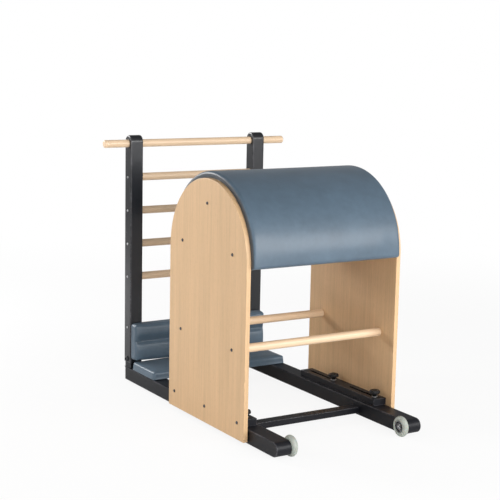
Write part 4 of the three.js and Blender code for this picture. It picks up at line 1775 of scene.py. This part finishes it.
@dataclass(frozen=True)
class Carriage:
    """The sliding barrel: panels, formers, bent shell, cover, step bars, slotted channels, screws."""

    panel_foot: float = 0.0015
    panel_ease: float = 0.0016
    former_foot: float = 0.001
    former_ease: float = 0.0008
    channel_ease: float = 0.0018
    shell_thickness: float = 0.012
    shell_steps: int = 72
    pad_gap: float = 0.0003
    pad_edge: float = 0.0115
    pad_under_edge: float = 0.002
    pad_slack: float = 0.0022
    bar_ease: float = 0.0008
    tuck_pitch: float = 0.011
    tuck_depth: float = 0.0004
    tuck_reach: tuple[float, float] = (0.03, 0.035)
    tuck_draw: float = 0.0008
    ripple_depth: float = 0.0006
    ripple_height: float = 0.03
    screw_inset: float = 0.014
    screw_rise: float = 0.0032
    bars: tuple[str, str] = ("step_bar_front", "step_bar_rear")
    body: str = "barrel_carriage"

    def build(self, scatter: Scatter) -> None:
        """Builds the carriage's pieces."""
        for side in SIDES:
            for node, suffix, foot, ease, finishes in (
                ("side_panel", "faced", self.panel_foot, self.panel_ease, [Laminate(), EdgeBand()]),
                ("arch_former", "ply", self.former_foot, self.former_ease, [Plywood(), PlyEdge()]),
            ):
                half = Box.of(f"{node}_{side}").size.y / 2
                extrude(f"{node}_{side}", suffix, Axis.X, (foot, foot, half, half), ease, finishes)
            recut(f"slide_channel_{side}", "coated", self.channel_ease, RAIL_COAT)
        self.shell()
        self.cover()
        for node in self.bars:
            self.bar(node)
        self.screws(scatter)

    @property
    def arch(self) -> tuple[float, float, float]:
        """The arch's centre along Y, its centre's height and its radius, from a panel's box."""
        box = Box.of("side_panel_left")
        radius = box.size.y / 2
        return box.centre.y, box.high.z - radius, radius

    def shell(self) -> None:
        """The bent plywood shell under the cover."""
        box = Box.of("barrel_shell")
        middle, height, _ = self.arch
        outer = box.size.y / 2
        inner = outer - self.shell_thickness
        path = [(math.pi * step / self.shell_steps, height) for step in range(self.shell_steps + 1)]
        section = [(box.low.x, inner), (box.low.x, outer), (box.high.x, outer), (box.high.x, inner)]
        shape = Shape()
        rings = [
            [
                shape.point(
                    (x, middle - radius * math.cos(angle), level + radius * math.sin(angle)),
                    depth=radius - inner,
                )
                for x, radius in section
            ]
            for angle, level in [(0.0, box.low.z), *path, (math.pi, box.low.z)]
        ]
        shape.bridge(rings)
        shape.cap(rings, 1)
        for face in shape.mesh.faces:
            if len({round(v.co.x, 5) for v in face.verts}) == 1:
                face.material_index = 1
        shape.finish("barrel_shell", "ply", [Plywood(), PlyEdge()])

    def cover(self) -> None:
        """The foam and vinyl cover, wrapped over the shell and taut along its length."""
        box = Box.of("barrel_pad")
        middle, height, radius = self.arch
        base = radius + self.pad_gap
        slack = self.pad_slack
        thickness = box.high.z - height - base - slack
        arc = math.pi * (base + thickness)
        cushion = Cushion(cell=0.0092, most_swell=0.0042, evening=40)
        size = [box.size.x - 2 * slack, arc + 2 * (height - box.low.z), thickness]
        points, faces = cushion.slab(size, self.pad_edge, self.pad_under_edge)
        share = (points[:, 2] + thickness / 2) / thickness
        worn = cushion.rim(points, size) * np.clip(points[:, 2] / thickness * 3 + 0.5, 0, 1)
        placed = self.bend(points, middle, height, base, thickness, arc)
        held = np.clip(1.3 - share * 3.5, 0, 1)
        # The cover's ends carry painted shade through end_shade.
        cushion.make(
            "barrel_cover", placed, faces, held, worn, "barrel_pad", Vinyl(end_shade=0.75),
            lambda now: self.gathers(now, box, height),
        )

    @staticmethod
    def bend(
        points: np.ndarray, middle: float, height: float, base: float, thickness: float, arc: float
    ) -> np.ndarray:
        """Bends a flat slab over the arch, with straight skirts at both ends.

        Args:
            points: The slab's points.
            middle: The arch's middle along Y.
            height: The height of its centre.
            base: The radius under the slab.
            thickness: The slab's thickness.
            arc: The length that goes round the arch.

        Returns:
            The points in place.
        """
        along = points[:, 1]
        reach = base + points[:, 2] + thickness / 2
        angle = np.clip(along / arc, -0.5, 0.5) * math.pi
        below = np.maximum(np.abs(along) - arc / 2, 0)
        return np.column_stack((
            points[:, 0],
            middle + reach * np.sin(angle),
            height + reach * np.cos(angle) - below,
        ))

    def gathers(self, now: np.ndarray, box: Box, height: float) -> np.ndarray:
        """Draws small tucks into the cover's four lower corners, where the vinyl is folded under.

        Args:
            now: The swollen points.
            box: The cover's box.
            height: The height of the arch's centre.

        Returns:
            The points, moved.
        """
        end = box.size.x / 2 - np.abs(now[:, 0])
        low = now[:, 2] - box.low.z
        near = np.exp(-((end / self.tuck_reach[0]) ** 2)) * np.exp(-((low / self.tuck_reach[1]) ** 2))
        tuck = np.cos(end * (2 * math.pi / self.tuck_pitch)) * self.tuck_depth * near
        outward = np.sign(now[:, 1] - box.centre.y)
        now[:, 1] -= outward * (tuck + self.tuck_draw * near)
        ripple = np.sin(now[:, 0] * 61.0) * np.sin(now[:, 0] * 23.0 + 1.3)
        hem = np.exp(-((low / self.ripple_height) ** 2)) * (now[:, 2] < height + 0.05)
        now[:, 1] -= outward * self.ripple_depth * ripple * hem
        return now

    def bar(self, node: str) -> None:
        """A lacquered step bar between the panels.

        Args:
            node: The node that it stands for.
        """
        box = Box.of(node)
        radius = box.size.z / 2
        half = box.size.x / 2
        ease = self.bar_ease
        end = [(0.0, -half), (radius * 0.6, -half), (radius - ease, -half), (radius, ease - half)]
        shape = Shape().turn(mirrored(end), Axis.X, box.centre, end_material=1)
        shape.finish(node, "turned", [Dowel(), EndGrain()])

    def screws(self, scatter: Scatter) -> None:
        """Eight pan heads in each panel: three in the former, two in the bars, three in the channel.

        Args:
            scatter: What stands the heads on their spots.
        """
        spots = []
        replaced = []
        middle, _, _ = self.arch
        for side, sign in SIDES.items():
            nodes = [f"former_screw_{place}_{side}" for place in ("top", "front", "rear")]
            replaced += nodes
            places = [Box.of(node).centre.yz for node in (*nodes, *self.bars)]
            channel = Box.of(f"slide_channel_{side}")
            reach = channel.size.y / 2 - self.screw_inset
            height = channel.centre.z + self.screw_rise
            places += [(middle + shift, height) for shift in (-reach, 0.0, reach)]
            seat = Box.of(f"side_panel_{side}").side(sign)
            spots += [((seat, *place), (sign, 0.0, 0.0)) for place in places]
        head = PanScrew(diameter=0.0122, height=0.0034, recess=0.0068).mesh()
        scatter.place("panel_screws", spots, head, DULL_ZINC, self.body, replaces=replaced)


class Knobs(Tool):
    """The four clamp knobs, whose caps a Geometry Nodes tree flutes from a few sizes."""

    sharp = 50.0
    lobes = 8.0
    steps = 96
    flute_depth = 0.0026
    foot = 0.009
    bore = 0.0053
    broken_edge = 0.0004
    stud_radius = 0.005
    stud_ease = 0.001
    thread_depth = 0.0008
    pitch = 0.0015

    def __init__(self) -> None:
        """Builds the tree, which draws points towards the axis between the lobes."""
        super().__init__("fluted_cap", {"Lobes": "Float", "Flute Depth": "Float", "Finish": "Material"})
        x, y, z = self.split(self.out("GeometryNodeInputPosition"))
        wave = self.maths("COSINE", self.maths("ARCTAN2", y, x) * self.given["Lobes"])
        bite = self.given["Flute Depth"] * ((1 - wave) * 0.5) ** 1.4 * self.named(FLUTE, "FLOAT")
        keep = 1 - bite / self.maths("MAXIMUM", (x * x + y * y) ** 0.5, 0.001)
        moved = self.out("ShaderNodeCombineXYZ", None, {0: x * keep, 1: y * keep, 2: z})
        values = {"Geometry": self.given["Geometry"], "Position": moved}
        self.deliver(self.out("GeometryNodeSetPosition", None, values))

    def build(self) -> None:
        """Builds each knob's cap, washer and stud."""
        for end in ENDS:
            for side in SIDES:
                self.cap(f"knob_cap_{end}_{side}")
                self.washer(f"knob_washer_{end}_{side}")
                self.stud(f"knob_stud_{end}_{side}")

    def cap(self, node: str) -> None:
        """A fluted cap with a dished top and a round foot.

        Args:
            node: The node that it stands for.
        """
        box = Box.of(node)
        height = box.size.z
        rim = box.size.x / 2
        foot = self.foot
        profile = [
            (0.0056, 0.001, 0.0, 0.0), (0.0062, 0.0, 0.0, 0.0),
            (foot - 0.0008, 0.0, 0.0, 0.0), (foot, 0.0008, 0.0, 0.3),
            (foot, 0.0042, 0.0, 0.0), (foot + 0.0012, 0.0062, 0.1, 0.0),
            (foot + 0.0042, 0.0086, 0.4, 0.0), (rim - 0.0028, 0.0108, 0.9, 0.1),
            (rim - 0.0008, 0.0122, 1.0, 0.7), (rim, 0.0138, 1.0, 0.8),
            (rim, 0.0196, 1.0, 0.5), (rim - 0.0008, 0.0216, 1.0, 0.9),
            (rim - 0.0024, 0.0232, 0.9, 0.9), (rim - 0.0046, 0.0239, 0.6, 0.4),
            (rim - 0.0075, height, 0.2, 0.2), (rim - 0.0105, height - 0.0006, 0.0, 0.1),
            (0.0095, height - 0.0014, 0.0, 0.0), (0.0088, height - 0.0008, 0.0, 0.3),
            (0.0075, height - 0.0002, 0.0, 0.3), (0.0, height, 0.0, 0.0),
        ]
        shape = Shape()
        flute = shape.mesh.verts.layers.float.new(FLUTE)
        rings = []
        for radius, rise, fluted, worn in profile:
            count = self.steps if radius > 0 else 1
            rings.append(shape.ring(radius, rise, Axis.Z, Vector(), count, worn))
            for vertex in rings[-1]:
                vertex[flute] = fluted
        shape.bridge(rings)
        shape.face(rings[0])
        piece = stand(f"{node}_moulded", shape.end(node))
        finish = MouldedPlastic()
        values = {"Lobes": self.lobes, "Flute Depth": self.flute_depth, "Finish": finish.material()}
        self.run(piece, values)
        piece.data.transform(Matrix.Translation(box.foot))
        settle(piece, BODY_OF[node], [node])

    def washer(self, node: str) -> None:
        """A bright washer with a broken edge.

        Args:
            node: The node that it stands for.
        """
        box = Box.of(node)
        radius = box.size.x / 2
        half = box.size.z / 2
        edge = self.broken_edge
        face = [(self.bore, half), (radius - edge, half, 0.3), (radius, half - edge, 0.6)]
        Shape().turn([*mirrored(face), face[0]], Axis.Z, box.centre).finish(node, "plated", [PALE_ZINC])

    def stud(self, node: str) -> None:
        """The threaded stud that runs down through the slot into the rail.

        Args:
            node: The node that it stands for.
        """
        box = Box.of(node)
        radius = self.stud_radius
        ease = self.stud_ease
        thread: list[tuple[float, float]] = [(0.0, 0.0), (radius - ease, 0.0), (radius, ease)]
        height = ease + self.pitch / 2
        while height < box.size.z - 2 * ease:
            thread += [(radius - self.thread_depth, height), (radius, height + self.pitch / 2)]
            height += self.pitch
        thread += [(radius - ease, box.size.z), (0.0, box.size.z)]
        Shape().turn(thread, Axis.Z, box.foot, 24).finish(node, "threaded", [Zinc()], 80)


@dataclass(frozen=True)
class Studio:
    """The pale floor, the camera and the lights: name, place, aim, width and height, watts."""

    camera_place: tuple[float, float, float] = (-2.6422, -4.1752, 1.4457)
    yaw: float = 31.549
    pitch: float = 9.324
    roll: float = 1.1747
    lens: float = 91.9
    sensor: float = 36.0
    floor_size: float = 40.0
    floor_glow: float = 0.88
    floor_fade: tuple[float, float] = (1.4, 4.5)
    surround: float = 0.62
    less_above: float = 0.36
    less_behind: float = 0.3
    least_surround: float = 0.12
    lights: tuple[tuple, ...] = (
        ("key_front", (1.0, -4.3, 1.75), (0.0, -0.1, 0.6), (5.2, 1.5), 192.0),
        ("fill_low", (-1.0, -3.4, 0.7), (0.1, 0.1, 0.3), (1.6, 0.6), 12.0),
        ("fill_left", (-3.7, 0.3, 1.8), (0.0, 0.0, 0.6), (2.2, 2.0), 38.0),
        ("back_left", (-1.7, 3.1, 1.75), (0.3, -0.2, 0.35), (1.5, 1.0), 70.0),
    )

    def build(self) -> None:
        """Builds the studio."""
        self.floor()
        self.world()
        self.light()
        self.camera()
        bpy.context.scene.view_settings.view_transform = "Standard"

    def floor(self) -> None:
        """A wide pale floor."""
        work = bmesh.new()
        bmesh.ops.create_grid(work, x_segments=2, y_segments=2, size=self.floor_size)
        mesh = as_mesh(work, "studio_floor")
        paint = Paint("floor_pale")
        paint.set(Base_Color=(0.86, 0.86, 0.86), Roughness=0.9, Specular_IOR_Level=0.1)
        glow = paint.out("ShaderNodeEmission", None, {"Color": (1.0, 1.0, 1.0, 1.0), "Strength": 1.0})
        seen = paint.out("ShaderNodeLightPath", output="Is Camera Ray")
        spot = {0: paint.object_place}
        away = paint.out("ShaderNodeVectorMath", {"operation": "LENGTH"}, spot, "Value")
        share = paint.span(away, *self.floor_fade) * (1 - self.floor_glow) + self.floor_glow
        both = paint.out("ShaderNodeMixShader", None, {0: seen * share, 1: paint.shader, 2: glow})
        paint.feed(paint.surface.inputs[0], both)
        mesh.materials.append(paint.material)
        stand("studio_floor", mesh)

    def world(self) -> None:
        """A white surround whose light comes mostly from the front, and least from above."""
        world = bpy.data.worlds.new("studio_surround")
        world.use_nodes = True
        graph = Graph(world.node_tree)
        _, ahead, above = graph.split(graph.out("ShaderNodeTexCoord", output="Generated"))
        level = self.surround - above * self.less_above - ahead * self.less_behind
        glow = graph.maths("MAXIMUM", level, self.least_surround)
        seen = graph.out("ShaderNodeLightPath", output="Is Camera Ray")
        white = {"Color": (1.0, 1.0, 1.0, 1.0), "Strength": seen + (1 - seen) * glow}
        light = graph.out("ShaderNodeBackground", None, white)
        graph.node("ShaderNodeOutputWorld", None, {"Surface": light})
        bpy.context.scene.world = world

    def light(self) -> None:
        """The soft rectangular lights, each hung at a place and turned towards a point."""
        for name, place, aim, size, watts in self.lights:
            data = bpy.data.lights.new(name, "AREA")
            data.shape = "RECTANGLE"
            data.size, data.size_y = size
            data.energy = watts
            way = Vector(aim) - Vector(place)
            turn = way.to_track_quat("-Z", "Y").to_matrix().to_4x4()
            stand(name, data).matrix_world = Matrix.Translation(place) @ turn

    def camera(self) -> None:
        """The camera that sees the apparatus as the photograph does."""
        data = bpy.data.cameras.new("view")
        data.lens = self.lens
        data.sensor_width = self.sensor
        data.clip_end = 200.0
        yaw, pitch, roll = (math.radians(a) for a in (self.yaw, self.pitch, self.roll))
        flat = Vector((math.sin(yaw), math.cos(yaw), 0.0))
        ahead = flat * math.cos(pitch) - Vector((0.0, 0.0, math.sin(pitch)))
        level = Vector((math.cos(yaw), -math.sin(yaw), 0.0))
        upward = level.cross(ahead)
        right = level * math.cos(roll) + upward * math.sin(roll)
        turned_up = upward * math.cos(roll) - level * math.sin(roll)
        turn = Matrix((right, turned_up, -ahead)).transposed().to_4x4()
        camera = stand("view", data)
        camera.matrix_world = Matrix.Translation(self.camera_place) @ turn
        bpy.context.scene.camera = camera


def main() -> None:
    """Builds the studio and the apparatus, one sub-assembly after the other."""
    logging.basicConfig(level=logging.INFO, format="%(message)s")
    scatter = Scatter()
    Studio().build()
    Base().build(scatter)
    Ladder().build(scatter)
    Seat().build(scatter)
    Wheels().build()
    Carriage().build(scatter)
    Knobs().build()


if __name__ == "__main__":
    main()
